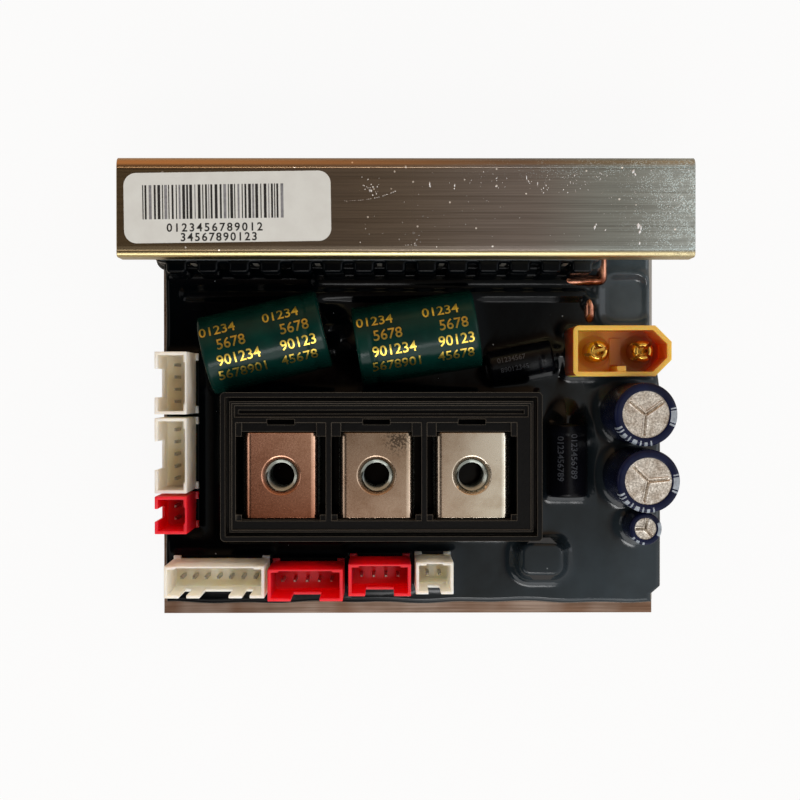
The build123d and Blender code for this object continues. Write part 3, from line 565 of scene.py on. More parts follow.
barAluminium = makeBarAluminium()
tornAluminium = makeGrainedMetal("tornAluminium", "#ffffff", 0.55)
plateAluminium = makePlateAluminium()
potting = makePotting()
framePlastic = makeFramePlastic()
nickel = makeNickel()
whiteNylon = makeHeaderNylon("mouldedIvoryNylon", "#fdf2df", "#f3e3c8", (1.0, 0.85, 0.65))
redNylon = makeHeaderNylon("mouldedRedNylon", "#ee0022", "#d2001a", (1.0, 0.1, 0.08))
amberNylon = makeInletNylon()
gold = makeGrainedMetal("goldPlatedBrass", "#e8b653", 0.2)
tin = makeGrainedMetal("tinPlatedBrass", "#c4beb2", 0.35)
steel = makeGrainedMetal("zincPlatedSteel", "#b8b8b4", 0.3)
brass = makeGrainedMetal("turnedBrass", "#c9a24a", 0.3)
shuntMetal = makeGrainedMetal("rolledManganin", "#8c7a68", 0.4)
greenSleeve = makeSleeve("shrunkGreenPvc", "#04241f", "#062e27", 0.22)
navySleeve = makeSleeve("shrunkNavyPvc", "#0d1128", "#131a38", 0.26)
blackSleeve = makeSleeve("shrunkBlackPvc", "#06070a", "#0b0c12", 0.26)
goldInk = makeInk("printedGoldInk", "#d8ba52", 0.93, 0.28)
paleInk = makeInk("printedPaleBlueInk", "#9fa9b4", 0.0, 0.5)
greyInk = makeInk("printedGreyInk", "#3c4048", 0.0, 0.45)
blackInk = makeInk("thermalPrint", "#0b0b0c", 0.0, 0.6)
labelGreyInk = makeInk("thinThermalPrint", "#85868a", 0.0, 0.6)
canAluminium = makeCanAluminium()
labelPaper = makeLabelPaper()
copper = makeCopper()
transistorFinish = makeTransistorFinish()
padSilicone = makeMatt("mouldedSilicone", "#8f979b", "#7c8488", 0.7, 0.5)
insulatorFilm = makeMatt("castPolyimide", "#b97a1e", "#9c6416", 0.3, 1.5)
laminate = makeMatt("pressedGlassLaminate", "#12351f", "#0c2816", 0.4, 0.6)
packageEpoxy = makeMatt("mouldedEpoxy", "#1b1b1c", "#0e0e0f", 0.55, 0.3)
ferriteBlack = makeMatt("pressedFerrite", "#2a2928", "#1c1b1b", 0.6, 0.2)
print("materials made:", len(bpy.data.materials))


def paint(material, *names):
    for name in names:
        mesh = nodes[name].data
        mesh.materials.clear()
        mesh.materials.append(material)


paint(plateAluminium, "base_plate")
paint(insulatorFilm, "insulating_sheet")
paint(steel, "plate_screws", "screw_nuts")
paint(brass, "board_spacers")
paint(padSilicone, "thermal_pad")
paint(labelPaper, "heatsink_label")
paint(laminate, "circuit_board")
paint(packageEpoxy, "microcontroller", "gate_drivers", "voltage_regulator")
paint(shuntMetal, "current_shunts")
paint(ferriteBlack, "inductor_core")
paint(copper, "inductor_coil")
paint(transistorFinish, *[name for name in nodes if name.startswith("power_transistor")])
paint(tin, *[name for name in nodes if name.endswith("_pins")])


barShape = {"frontRadius": 0.85, "backRadius": 1.4, "frontGroove": 0.93, "backGroove": 1.65,
            "grooveWidth": 0.22, "grooveDepth": 0.14, "slopeWidth": 0.55, "slopeDepth": 0.09,
            "footRadius": 0.4, "endBevel": 0.12, "leftInset": 0.35}


def makeBar():
    # the extruded section, swept along X with small bevels where the saw cut was deburred
    low, high = cadBox("heatsink_bar")
    low.x += barShape["leftInset"]
    foot, half, depth = barShape["footRadius"], barShape["grooveWidth"] / 2, barShape["grooveDepth"]
    top, bottom, front, back = high.z, low.z, low.y, high.y

    def groove(middle):
        return [(middle - half, top), (middle - half * 0.6, top - depth * 0.8), (middle, top - depth),
                (middle + half * 0.6, top - depth * 0.8), (middle + half, top)]

    radius = barShape["frontRadius"]
    section = arc(front + foot, bottom + foot, foot, 270, 180, 4)
    section += arc(front + radius, top - radius, radius, 180, 92, 12)
    section += groove(front + barShape["frontGroove"] + half)
    slopeEnd = front + barShape["frontGroove"] + 2 * half + barShape["slopeWidth"]
    section[-1] = (section[-1][0], top - barShape["slopeDepth"])
    section += [(slopeEnd, top - 0.01), (slopeEnd + 0.1, top)]
    section += groove(back - barShape["backGroove"])
    radius = barShape["backRadius"]
    section += arc(back - radius, top - radius, radius, 86, 0, 14)
    section += arc(back - foot, bottom + foot, foot, 0, -90, 4)
    middleY, middleZ = (front + back) / 2, (top + bottom) / 2
    inset = barShape["endBevel"]
    verts, rows = [], []
    for x, shrink in ((low.x, inset), (low.x + inset, 0), (high.x - inset, 0), (high.x, inset)):
        scaleY = 1 - 2 * shrink / (back - front)
        scaleZ = 1 - 2 * shrink / (top - bottom)
        rows.append(list(range(len(verts), len(verts) + len(section))))
        verts += [(x, middleY + (y - middleY) * scaleY, middleZ + (z - middleZ) * scaleZ) for y, z in section]
    faces = grid([row + row[:1] for row in rows])
    faces += [rows[0], rows[-1][::-1]]
    piece = newPiece("heatsinkBar", verts, faces)
    faceOutward(piece)
    return finishPiece(piece, barAluminium, ["heatsink_bar"], 30)


makeBar()


labelPrint = {"length": 32.7, "width": 11.1, "turn": 0.8, "barsLeft": 2.95, "barsRight": 25.7,
              "barsBottom": 3.75, "barsTop": 9.15, "module": 0.17, "ink": 0.012, "fontSize": 1.8176,
              "stroke": 0.035, "firstRow": ("0123456789012", 6.7, 1.78, 1.31),
              "secondRow": ("34567890123", 8.85, 0.25, 1.24)}


def textMesh(name, words, size, thickness, spacing=1.0, stroke=0.0):
    # words as a thin closed mesh, its lower left corner at the origin
    curve = bpy.data.curves.new(name, "FONT")
    curve.body = words
    curve.size = size
    curve.space_character = spacing
    curve.extrude = thickness / 2
    curve.offset = stroke
    curve.resolution_u = 4
    text = bpy.data.objects.new(name, curve)
    bpy.context.collection.objects.link(text)
    bpy.context.view_layer.update()
    mesh = bpy.data.meshes.new_from_object(text.evaluated_get(bpy.context.evaluated_depsgraph_get()))
    bpy.data.objects.remove(text)
    piece = bpy.data.objects.new(name, mesh)
    bpy.context.collection.objects.link(piece)
    return piece


def makeLabelPrint():
    low, high = cadBox("heatsink_label")
    middle = (low + high) / 2
    turn = Matrix.Rotation(radians(labelPrint["turn"]), 4, "Z")
    corner = Matrix.Translation((-labelPrint["length"] / 2, -labelPrint["width"] / 2, 0))
    place = Matrix.Translation((middle.x, middle.y, high.z)) @ turn @ corner
    # widths of 1 to 3 modules from a fixed sequence of steps; a third of the bars in a thinner grey ink
    at, step, dark, pale = labelPrint["barsLeft"], 0, [], []
    while at < labelPrint["barsRight"] - 0.5:
        wide = labelPrint["module"] * (1 + (step * 7 + step // 3) % 3 * 0.8)
        gap = labelPrint["module"] * (1.1 + (step * 5 + step // 2) % 3 * 0.5)
        bars = pale if (step * 11 + step // 4) % 3 == 1 else dark
        bars.append((at, at + wide, labelPrint["barsBottom"], labelPrint["barsTop"], 0.001,
                     labelPrint["ink"]))
        at += wide + gap
        step += 1
    for name, bars, ink in (("labelBarsDark", dark, blackInk), ("labelBarsPale", pale, labelGreyInk)):
        piece = boxes(name, bars)
        piece.data.transform(place)
        finishPiece(piece, ink)
    for name, row in (("labelDigitsUpper", "firstRow"), ("labelDigitsLower", "secondRow")):
        words, left, bottom, spacing = labelPrint[row]
        digits = textMesh(name, words, labelPrint["fontSize"], labelPrint["ink"], spacing,
                          labelPrint["stroke"])
        digits.data.transform(place @ Matrix.Translation((left, bottom, labelPrint["ink"] / 2 + 0.001)))
        finishPiece(digits, blackInk)


makeLabelPrint()


# a knock is where it lies, its half width, how much longer than wide it is and the angle of its long side;
# a cluster is its middle, its spread, how many marks it has and their half width
nickShape = {"strays": 70, "front": 23.6, "back": 35.4, "scratchDots": 26, "scratchStart": (-9.6, 30.6),
             "scratchRun": (8.0, 1.5),
             "knocks": [(3.84, 33.2, 0.11, 4.0, 1.5), (3.95, 32.9, 0.12, 2.0, 1.9),
                        (7.8, 33.0, 0.1, 2.2, 1.5), (7.75, 32.5, 0.09, 1.6, 1.2),
                        (19.2, 34.2, 0.07, 6.5, 1.75), (19.5, 33.7, 0.06, 4.0, 2.0),
                        (36.1, 35.2, 0.2, 2.0, 1.2), (36.4, 34.8, 0.12, 2.2, 2.0),
                        (36.9, 26.6, 0.2, 2.6, 1.5), (37.3, 26.4, 0.16, 3.2, 1.7),
                        (37.1, 25.7, 0.2, 1.8, 1.3), (37.1, 23.9, 0.13, 2.0, 1.5),
                        (30.0, 26.4, 0.14, 2.8, 1.3), (30.2, 26.9, 0.1, 2.0, 1.8),
                        (31.7, 26.0, 0.12, 1.6, 1.0)],
             "clusters": [(-5.3, 32.4, 0.8, 20, 0.09), (11.2, 34.3, 0.9, 6, 0.06),
                          (14.4, 33.7, 1.0, 14, 0.06), (21.5, 33.2, 0.9, 16, 0.07),
                          (26.9, 33.4, 1.0, 18, 0.065), (30.6, 34.2, 0.8, 14, 0.06),
                          (37.0, 33.4, 2.6, 34, 0.05), (43.2, 31.0, 1.8, 60, 0.05),
                          (1.5, 23.9, 1.2, 16, 0.05)]}


def makeNicks():
    # handling damage on the bar's top: raised bright burrs, in loose clusters and one dotted scratch
    low, high = cadBox("heatsink_bar")
    random = np.random.RandomState(41)
    marks = list(nickShape["knocks"])
    for _ in range(nickShape["strays"]):
        place = (random.uniform(-8, 45), random.uniform(24, 35.4))
        marks.append((*place, random.uniform(0.03, 0.07), 1.0, None))
    for x, y, spread, count, size in nickShape["clusters"]:
        for _ in range(count):
            place = (random.normal(x, spread), random.normal(y, spread * 0.8))
            marks.append((*place, size * random.uniform(0.5, 1.2), random.uniform(1.0, 2.6),
                          random.normal(1.4, 0.5)))
    startX, startY = nickShape["scratchStart"]
    runX, runY = nickShape["scratchRun"]
    for step in range(nickShape["scratchDots"]):
        share = step / (nickShape["scratchDots"] - 1)
        if step % 4 != 2:
            place = (startX + runX * share, startY + runY * share ** 2.4)
            marks.append((*place, 0.03 + 0.04 * share, 1.7, 0.2))
    verts, faces = [], []
    for x, y, size, stretch, turn in marks:
        x = min(max(x, low.x + 1), high.x - 0.4)
        y = min(max(y, nickShape["front"]), nickShape["back"])
        angle = random.uniform(0, pi) if turn is None else turn
        first = len(verts)
        verts.append((x, y, high.z + 0.02 + size * 0.12))
        corners = random.randint(4, 7)
        for corner in range(corners):
            around = 2 * pi * corner / corners
            a = 1.5 * size * stretch * cos(around) * random.uniform(0.6, 1.1)
            b = 1.5 * size * sin(around) * random.uniform(0.6, 1.1)
            verts.append((x + a * cos(angle) - b * sin(angle), y + a * sin(angle) + b * cos(angle),
                          high.z - 0.01))
        faces += [(first, first + 1 + c, first + 1 + (c + 1) % corners) for c in range(corners)]
        faces.append([first + 1 + c for c in range(corners)][::-1])
    finishPiece(newPiece("barNicks", verts, faces), tornAluminium, [], 10)


makeNicks()
print("bar and label made")


# feet are rectangles that stand in the resin, each with its middle, width, depth, turn and corner radius
pour = {"level": 7.6, "underside": 2.05, "edgeRadius": 0.9, "columns": 330, "lines": 270, "wave": 0.12,
        "waveSize": 11.0, "climb": 0.55, "climbReach": 0.75, "earStart": 11.5, "earFull": -1.0,
        "sideNarrow": 41.26, "sideWide": 43.1, "stepAt": -32.5, "left": -40.0, "front": -35.1, "back": 35.05,
        "plateRight": 42.45, "coilPlace": (22.9, -27.6), "coilSize": (9.0, 7.2), "coilRise": 2.2,
        "basinPlace": (37.1, 15.6), "basinSize": (7.2, 7.4), "basinSink": 0.12, "basinRim": 0.5,
        "feet": [(-37.15, 1.8, 5.6, 10.0, 0, 0), (-37.15, -9.8, 5.6, 12.0, 0, 0),
                 (-37.15, -19.3, 5.6, 6.0, 0, 0), (-30.5, -29.75, 16.0, 5.6, 0, 0),
                 (-16.0, -30.25, 12.0, 5.6, 0, 0), (-4.1, -29.45, 10.0, 5.6, 0, 0),
                 (4.7, -29.15, 6.0, 5.6, 0, 0), (-3.8, -11.6, 51.4, 23.8, 0, 0.6),
                 (34.7, 6.9, 15.7, 8.1, 0, 1.0), (19.45, 5.4, 10.8, 5.2, 11, 0.6),
                 (27.2, -11.1, 6.6, 12.2, 0, 0.6), (-23.0, 8.5, 20.0, 9.4, 13.5, 0.6),
                 (2.0, 9.3, 20.0, 9.4, 9, 0.6)],
        "roundFeet": [(37.8, -3.2, 5), (38.2, -13.7, 5), (39.05, -21.9, 2.65)],
        "mounds": [(-12.2, 11.1, 3.2, 2.6), (-8.6, 7.6, 3.0, 1.6), (25.8, 6.6, 2.2, 1.2),
                   (27.2, -3.9, 2.6, 1.0)]}
bank = {"left": -40.85, "right": 32.65, "back": 34.5, "firstX": -37.12, "pitch": 5.08, "count": 14,
        "rootY": 21.35, "tipY": 19.65, "halfWidth": 1.75, "corner": 0.75, "frontLeft": 22.6,
        "frontRadius": 1.1, "footMiddle": 28.0, "footDepth": 14.6,
        "levels": [(6.9, 0.75), (7.6, 0.5), (8.0, 0.28), (8.6, 0.1), (9.6, 0.0), (12.5, 0.03), (15.2, 0.0),
                   (15.55, -0.06), (15.8, -0.18), (15.93, -0.34), (16.0, -0.55)]}
wires = {"radius": 0.9, "level": 6.8, "coat": 0.45, "rearY": 19.0, "frontY": 16.8, "rearLeft": -14.4,
         "rearRight": 33.1, "frontLeft": -36.4, "frontRight": 31.1, "foot": 3.4, "rise": 7.9, "bend": 1.3}


def smoothMax(first, second, blend):
    # the higher of two surfaces, with a fillet where they meet
    share = np.clip(0.5 + 0.5 * (first - second) / blend, 0, 1)
    return second + (first - second) * share + blend * share * (1 - share)


def toSegment(x, y, start, end):
    # distance from each point to a straight run
    run = np.array(end) - np.array(start)
    share = np.clip(((x - start[0]) * run[0] + (y - start[1]) * run[1]) / (run @ run), 0, 1)
    return np.hypot(x - start[0] - share * run[0], y - start[1] - share * run[1])


def toRectangle(x, y, centre, size, turn=0.0, corner=0.0):
    # distance outside a turned rectangle, below zero inside it
    across, along = x - centre[0], y - centre[1]
    c, s = cos(radians(turn)), sin(radians(turn))
    u = abs(across * c + along * s) - size[0] / 2 + corner
    v = abs(along * c - across * s) - size[1] / 2 + corner
    return np.hypot(np.maximum(u, 0), np.maximum(v, 0)) + np.minimum(np.maximum(u, v), 0) - corner


def roundRidge(distance, radius, top):
    inside = top - radius + np.sqrt(np.maximum(radius ** 2 - distance ** 2, 0))
    return np.where(distance < radius, inside, top - radius - (distance - radius) * 3)


def rightEdge(y):
    # the right side swings out towards the front in a smooth step, and back in at the front corner
    share = np.clip((pour["earStart"] - y) / (pour["earStart"] - pour["earFull"]), 0, 1)
    edge = pour["sideNarrow"] + (pour["sideWide"] - pour["sideNarrow"]) * (3 * share ** 2 - 2 * share ** 3)
    cut = np.clip((pour["stepAt"] - y) / 1.2, 0, 1)
    return edge - 1.5 * cut


def frontEdge(x):
    return pour["front"] - 0.12 * np.sin(x * 0.21 + 1.0) - 0.1 * np.sin(x * 0.53)


def makePottingSurface():
    # a grid that follows the pour's outline, closer near its rim, lifted to the resin's level everywhere
    def crowded(count):
        share = np.linspace(0, 1, count)
        return share - 0.085 * np.sin(2 * pi * share)

    u, v = np.meshgrid(crowded(pour["columns"]), crowded(pour["lines"]))
    roughY = pour["front"] + (pour["back"] - pour["front"]) * v
    left = pour["left"] - 0.06 * np.sin(roughY * 0.4)
    right = rightEdge(roughY)
    x = left + (right - left) * u
    y = frontEdge(x) + (pour["back"] - frontEdge(x)) * v

    z = np.full_like(x, pour["level"])
    ripple = np.array([noise.noise(Vector((a, b, 3.1))) for a, b in
                       zip((x / pour["waveSize"]).ravel(), (y / pour["waveSize"]).ravel())]).reshape(x.shape)
    z += pour["wave"] * ripple
    # resin over the two bus wires, thin where their ends come out of it
    radius = wires["radius"] + wires["coat"]
    runs = (((wires["rearLeft"], wires["rearY"]), (wires["rearRight"] - 2.4, wires["rearY"]), 8.0),
            ((wires["frontLeft"], wires["frontY"]), (wires["frontRight"] - 1.2, wires["frontY"]), 7.95),
            ((wires["frontRight"], wires["frontY"] - 1.2), (wires["frontRight"], wires["frontY"] - 1.5), 8.1))
    for start, end, top in runs:
        z = smoothMax(z, roundRidge(toSegment(x, y, start, end), radius, top), 1.1)
    # the bank's foot
    middle, length = (bank["left"] + bank["right"]) / 2, bank["right"] - bank["left"] + 0.1
    foot = toRectangle(x, y, (middle, bank["footMiddle"]), (length, bank["footDepth"]), 0, 1.0)
    z = np.maximum(z, pour["level"] + 2.2 * np.exp(-np.maximum(foot, 0) / 0.5))
    # the buried inductor
    coil = toRectangle(x, y, pour["coilPlace"], pour["coilSize"], 0, 2.6)
    z += pour["coilRise"] * np.exp(-np.maximum(coil + 1.4, 0) ** 2 / 1.6)
    # a shallow basin behind the inlet, with a rolled rim
    basin = toRectangle(x, y, pour["basinPlace"], pour["basinSize"], 0, 2.2)
    z -= pour["basinSink"] * np.clip(0.5 - basin / 1.6, 0, 1) ** 2
    z += pour["basinRim"] * np.exp(-((basin - 1.0) / 0.8) ** 2)
    # the resin climbs the parts that stand in it
    feet = [toRectangle(x, y, (cx, cy), (wide, deep), turn, corner)
            for cx, cy, wide, deep, turn, corner in pour["feet"]]
    feet += [np.hypot(x - cx, y - cy) - radius for cx, cy, radius in pour["roundFeet"]]
    climb = np.zeros_like(x)
    for distance in feet:
        climb = np.maximum(climb, np.exp(-np.maximum(distance, 0) / pour["climbReach"]))
    z += pour["climb"] * climb
    # resin mounded over the leads of the lying capacitors
    for cx, cy, reach, rise in pour["mounds"]:
        z += rise * np.exp(-(np.hypot(x - cx, y - cy) / reach) ** 2 * 1.6)
    # the rim rolls over
    inward = np.minimum(np.minimum(x - left, right - x), np.minimum(y - frontEdge(x), pour["back"] - y))
    fall = pour["edgeRadius"] - np.sqrt(np.maximum(
        pour["edgeRadius"] ** 2 - np.maximum(pour["edgeRadius"] - inward, 0) ** 2, 0))
    z -= fall

    verts = np.stack([x, y, z], -1).reshape(-1, 3).tolist()
    columns, lines = pour["columns"], pour["lines"]
    rows = [list(range(line * columns, (line + 1) * columns)) for line in range(lines)]
    faces = grid(rows)
    rim = (rows[0] + [row[-1] for row in rows[1:]] + rows[-1][-2::-1] + [row[0] for row in rows[-2:0:-1]])
    below = rim
    for drop in (0.3, 0.65, 1.0):
        lower = []
        for index in rim:
            px, py, pz = verts[index]
            spread = max(0.0, pour["plateRight"] - px) if px > pour["sideNarrow"] - 0.4 else 0.0
            verts.append([px + spread * drop, py, pz + (pour["underside"] - pz) * drop])
            lower.append(len(verts) - 1)
        count = len(rim)
        faces += [(below[(i + 1) % count], below[i], lower[i], lower[(i + 1) % count]) for i in range(count)]
        below = lower
    faces.append(below[::-1])
    piece = newPiece("pottingPour", verts, faces)
    finishPiece(piece, potting, ["potting_compound"], 70, False)


def makePottingBank():
    # the wall of resin under the bar: a rounded tooth over each outer lead, a flared foot, a rolled top
    rootY, tipY, half, corner = bank["rootY"], bank["tipY"], bank["halfWidth"], bank["corner"]
    left, frontLeft, radius = bank["left"], bank["frontLeft"], bank["frontRadius"]
    outline = [(bank["right"], rootY + 1.2), (bank["right"], bank["back"]), (left, bank["back"]),
               (left, frontLeft)]
    outline += arc(left + radius, frontLeft, radius, 180, 262, 6)
    for index in range(bank["count"]):
        middle = bank["firstX"] + index * bank["pitch"]
        outline += arc(middle - half - 0.3, rootY - 0.3, 0.3, 90, 10, 3)
        outline += arc(middle - half + corner, tipY + corner, corner, 180, 270, 5)
        outline += arc(middle + half - corner, tipY + corner, corner, 270, 360, 5)
        outline += arc(middle + half + 0.3, rootY - 0.3, 0.3, 170, 90, 3)
    points = np.array(outline[::-1])
    # outward direction at each corner of the outline
    tangent = np.roll(points, -1, 0) - np.roll(points, 1, 0)
    outward = np.stack([tangent[:, 1], -tangent[:, 0]], -1)
    outward /= np.linalg.norm(outward, axis=1)[:, None]
    if np.sum(points[:, 0] * outward[:, 0]) < 0:
        outward = -outward
    verts, rows = [], []
    for level, grow in bank["levels"]:
        rows.append(list(range(len(verts), len(verts) + len(points))))
        verts += [(a, b, level) for a, b in (points + outward * grow)]
    faces = grid([row + row[:1] for row in rows])
    faces += [rows[0][::-1], rows[-1]]
    piece = newPiece("pottingBank", verts, faces)
    faceOutward(piece)
    finishPiece(piece, potting, [], 50)


makePottingSurface()
makePottingBank()
print("potting made")


def makeWire(name, node, points, radius):
    curve = bpy.data.curves.new(name, "CURVE")
    curve.dimensions = "3D"
    curve.bevel_depth = radius
    curve.bevel_resolution = 8
    curve.resolution_u = 12
    curve.use_fill_caps = True
    line = curve.splines.new("NURBS")
    line.points.add(len(points) - 1)
    for point, place in zip(line.points, points):
        point.co = (*place, 1)
    line.order_u = 3
    line.use_endpoint_u = True
    wire = bpy.data.objects.new(name, curve)
    bpy.context.collection.objects.link(wire)
    bpy.context.view_layer.update()
    mesh = bpy.data.meshes.new_from_object(wire.evaluated_get(bpy.context.evaluated_depsgraph_get()))
    bpy.data.objects.remove(wire)
    piece = bpy.data.objects.new(name, mesh)
    bpy.context.collection.objects.link(piece)
    return finishPiece(piece, copper, [node])


def makeBusWires():
    # both rise out of the board, run along under the resin and hook forward or back before they dive again
    low, level, rise, bend = wires["foot"], wires["level"], wires["rise"], wires["bend"]
    left, right, y = wires["rearLeft"], wires["rearRight"], wires["rearY"]
    route = [(left, y, low), (left, y, 5.6), (left + bend, y, level), (right - 7, y, level),
             (right - 3.2, y, rise), (right - 1.2, y, rise + 0.1), (right, y, rise + 0.1),
             (right, y + 1.4, rise + 0.1), (right, y + 4.0, rise), (right, y + 5.2, rise - 0.3),
             (right, y + 5.2, low)]
    makeWire("busWireRear", "bus_wire_rear", route, wires["radius"])
    left, right, y = wires["frontLeft"], wires["frontRight"], wires["frontY"]
    route = [(left, y, low), (left, y, 5.6), (left + bend, y, level), (right - 3, y, level),
             (right, y, level), (right, y - 1.6, level + 0.75), (right, y - 5.0, level + 0.75),
             (right, y - 5.3, low)]
    makeWire("busWireFront", "bus_wire_front", route, wires["radius"])


makeBusWires()
print("wires made")


block = {"rim": 0.8, "corner": 0.7, "grooveDepth": 2.4, "groove": 0.65, "rib": 0.35, "ledgeDrop": 0.7,
         "side": 1.15, "clearance": 0.35, "slotWidth": 4.4, "headWidth": 3.9, "headDepth": 2.2,
         "headFront": 0.96, "edge": 0.14, "floor": 7.0}
bridge = {"thick": 2.0, "leg": 1.5, "bendRadius": 1.3, "insideRadius": 0.4, "bottom": 6.2,
          "collarDepth": 12.6, "collarRadius": 3.7, "boreRadius": 2.5, "mouthRadius": 3.05, "edge": 0.13,
          "pitch": 0.8, "crest": 2.08, "root": 2.56}


def terminalBoxes():
    return [cadBox(f"phase_terminal_{index}") for index in (1, 2, 3)]


def makeFrame():
    low, high = cadBox("terminal_frame")
    outline = roundedRectangle(low.x, high.x, low.y, high.y, block["corner"])
    piece = prism("terminalFrame", outline, low.z, high.z)
    top, step = high.z, high.z - block["ledgeDrop"]
    rim, groove, rib = block["rim"], block["groove"], block["rib"]
    terminals = terminalBoxes()
    pocketFront = terminals[0][0].y - block["clearance"]
    pocketBack = terminals[0][1].y + block["clearance"] + 1.3
    # everything inside the rim steps down to a rib and a narrow groove, then again to the floor of the block
    a = (low.x + rim, high.x - rim, low.y + rim, high.y - rim)
    b = tuple(v + s * (groove + rib) for v, s in zip(a, (1, -1, 1, -1)))
    carve(piece, boxes("cut", [(*a, step + 0.25, top + 1)]))

    def ring(edges, width, bottom, topLevel):
        left, right, front, back = edges
        return [(left, left + width, front, back, bottom, topLevel),
                (right - width, right, front, back, bottom, topLevel),
                (left + width, right - width, front, front + width, bottom, topLevel),
                (left + width, right - width, back - width, back, bottom, topLevel)]

    carve(piece, boxes("cut", ring(a, groove, top - block["grooveDepth"], top + 1)))
    carve(piece, boxes("cut", [(*b, step, top + 1)]))
    # a second, finer step on the deep ledge behind the terminals
    left, right, back = b[0] + 0.4, b[1] - 0.4, b[3] - 0.35
    carve(piece, boxes("cut", [(left, right, pocketBack + 0.9, back, step - 0.55, top + 1)]))
    carve(piece, boxes("cut", [(left + 0.6, right - 0.6, back - 1.3, back - 0.7, step - 1.5, top + 1)]))
    # pockets wide of the terminals, held at both ends by heads on the walls between
    pockets, heads = [], []
    for terminalLow, terminalHigh in terminals:
        pockets.append((terminalLow.x - block["side"], terminalHigh.x + block["side"], pocketFront,
                        pocketBack, block["floor"], top + 1))
    carve(piece, boxes("cut", pockets))
    # lower shelves close behind and in front of each terminal, notched behind it
    for terminalLow, terminalHigh in terminals:
        shelf = (terminalLow.x - 0.9, terminalHigh.x + 0.9)
        heads.append((*shelf, terminalHigh.y + 0.2, pocketBack + 0.2, block["floor"], step - 0.75))
        heads.append((*shelf, pocketFront - 0.2, terminalLow.y - 0.15, block["floor"], step - 1.1))
    carve(piece, boxes("shelves", heads), "UNION")
    notches, heads = [], []
    for terminalLow, terminalHigh in terminals:
        middle = (terminalLow.x + terminalHigh.x) / 2
        notches.append((middle - block["slotWidth"] / 2, middle + block["slotWidth"] / 2, pocketBack - 0.35,
                        pocketBack + 0.55, block["floor"] + 6, top + 1))
    carve(piece, boxes("cut", notches))
    middles = [(terminals[i][1].x + terminals[i + 1][0].x) / 2 for i in (0, 1)]
    half = block["headWidth"] / 2
    clear = block["clearance"] * 0.6
    for middle in middles:
        gapHalf = (terminals[1][0].x - terminals[0][1].x) / 2 - clear
        heads.append((middle - gapHalf, middle + gapHalf, pocketBack - block["headDepth"], pocketBack + 0.2,
                      block["floor"], step - 0.15))
        heads.append((middle - half, middle + half, pocketBack - block["headDepth"], pocketBack + 0.2,
                      terminals[0][1].z + 0.15, step - 0.15))
        heads.append((middle - gapHalf, middle + gapHalf, pocketFront - 0.2, pocketFront + block["headFront"],
                      block["floor"], step - 0.25))
    for edge, inward in ((terminals[0][0].x, -1), (terminals[2][1].x, 1)):
        x0, x1 = sorted((edge + inward * clear, edge + inward * (block["side"] + 0.3)))
        heads.append((x0, x1, pocketBack - block["headDepth"], pocketBack + 0.2, block["floor"], step - 0.15))
        heads.append((x0, x1, pocketFront - 0.2, pocketFront + block["headFront"], block["floor"],
                      step - 0.25))
    carve(piece, boxes("heads", heads), "UNION")
    softenEdges(piece, block["edge"], 2)
    finishPiece(piece, framePlastic, ["terminal_frame"])


def makeTerminal(index, low, high):
    # a bridge bent from 2 mm strip, tapped M5 through a drawn collar
    thick, leg = bridge["thick"], bridge["leg"]
    bendRadius, inside = bridge["bendRadius"], bridge["insideRadius"]
    half = (high.x - low.x) / 2
    middleX, middleY = (low.x + high.x) / 2, (low.y + high.y) / 2
    top, bottom = high.z, bridge["bottom"]
    section = [(-half, bottom)] + arc(-half + bendRadius, top - bendRadius, bendRadius, 180, 90, 7)
    section += arc(half - bendRadius, top - bendRadius, bendRadius, 90, 0, 7) + [(half, bottom)]
    section += [(half - leg, bottom)] + arc(half - leg - inside, top - thick - inside, inside, 0, 90, 3)
    section += arc(-half + leg + inside, top - thick - inside, inside, 90, 180, 3) + [(-half + leg, bottom)]
    count = len(section)
    verts = [(middleX + a, low.y, b) for a, b in section] + [(middleX + a, high.y, b) for a, b in section]
    faces = [list(range(count)), list(range(count, 2 * count))[::-1]]
    faces += [(i, count + i, count + (i + 1) % count, (i + 1) % count) for i in range(count)]
    piece = newPiece(f"phaseTerminal{index}", verts, faces)
    faceOutward(piece)
    place = Matrix.Translation((middleX, middleY, 0))
    collarBottom, radius = top - bridge["collarDepth"], bridge["collarRadius"]
    collar = [(0, collarBottom), (radius - 0.3, collarBottom), (radius, collarBottom + 0.3),
              (radius, top - thick + 0.3), (0, top - thick + 0.3)]
    carve(piece, turned("collar", collar, place, 72), "UNION")
    radius, mouth = bridge["boreRadius"], bridge["mouthRadius"]
    bore = [(0, collarBottom - 1), (radius, collarBottom - 1), (radius, top - 0.62), (mouth, top - 0.08),
            (mouth + 0.15, top + 0.1), (mouth + 0.15, top + 1), (0, top + 1)]
    carve(piece, turned("bore", bore, place, 72))
    softenEdges(piece, bridge["edge"], 2, 40)
    finishPiece(piece, nickel, [f"phase_terminal_{index}"])
    makeThread(index, middleX, middleY, collarBottom, top)


def makeThread(index, middleX, middleY, bottom, top):
    # a V-shaped ridge that winds up the bore and fades out at both ends
    pitch, crest, root, steps = bridge["pitch"], bridge["crest"], bridge["root"], 40
    total = int((top - 0.75 - bottom) / pitch * steps)
    verts, rows = [], []
    for i in range(total + 1):
        angle = 2 * pi * i / steps
        fade = min(1.0, i / 18, (total - i) / 18)
        inward = root - (root - crest) * max(fade, 0.02)
        level = bottom + 0.1 + pitch * i / steps
        rows.append(list(range(len(verts), len(verts) + 4)))
        for radius, offset in ((root, -0.36), (inward, -0.06), (inward, 0.06), (root, 0.36)):
            verts.append((middleX + radius * cos(angle), middleY + radius * sin(angle), level + offset))
    faces = grid([row + row[:1] for row in rows]) + [rows[0], rows[-1][::-1]]
    thread = newPiece(f"phaseThread{index}", verts, faces)
    faceOutward(thread)
    finishPiece(thread, nickel, [], 50)


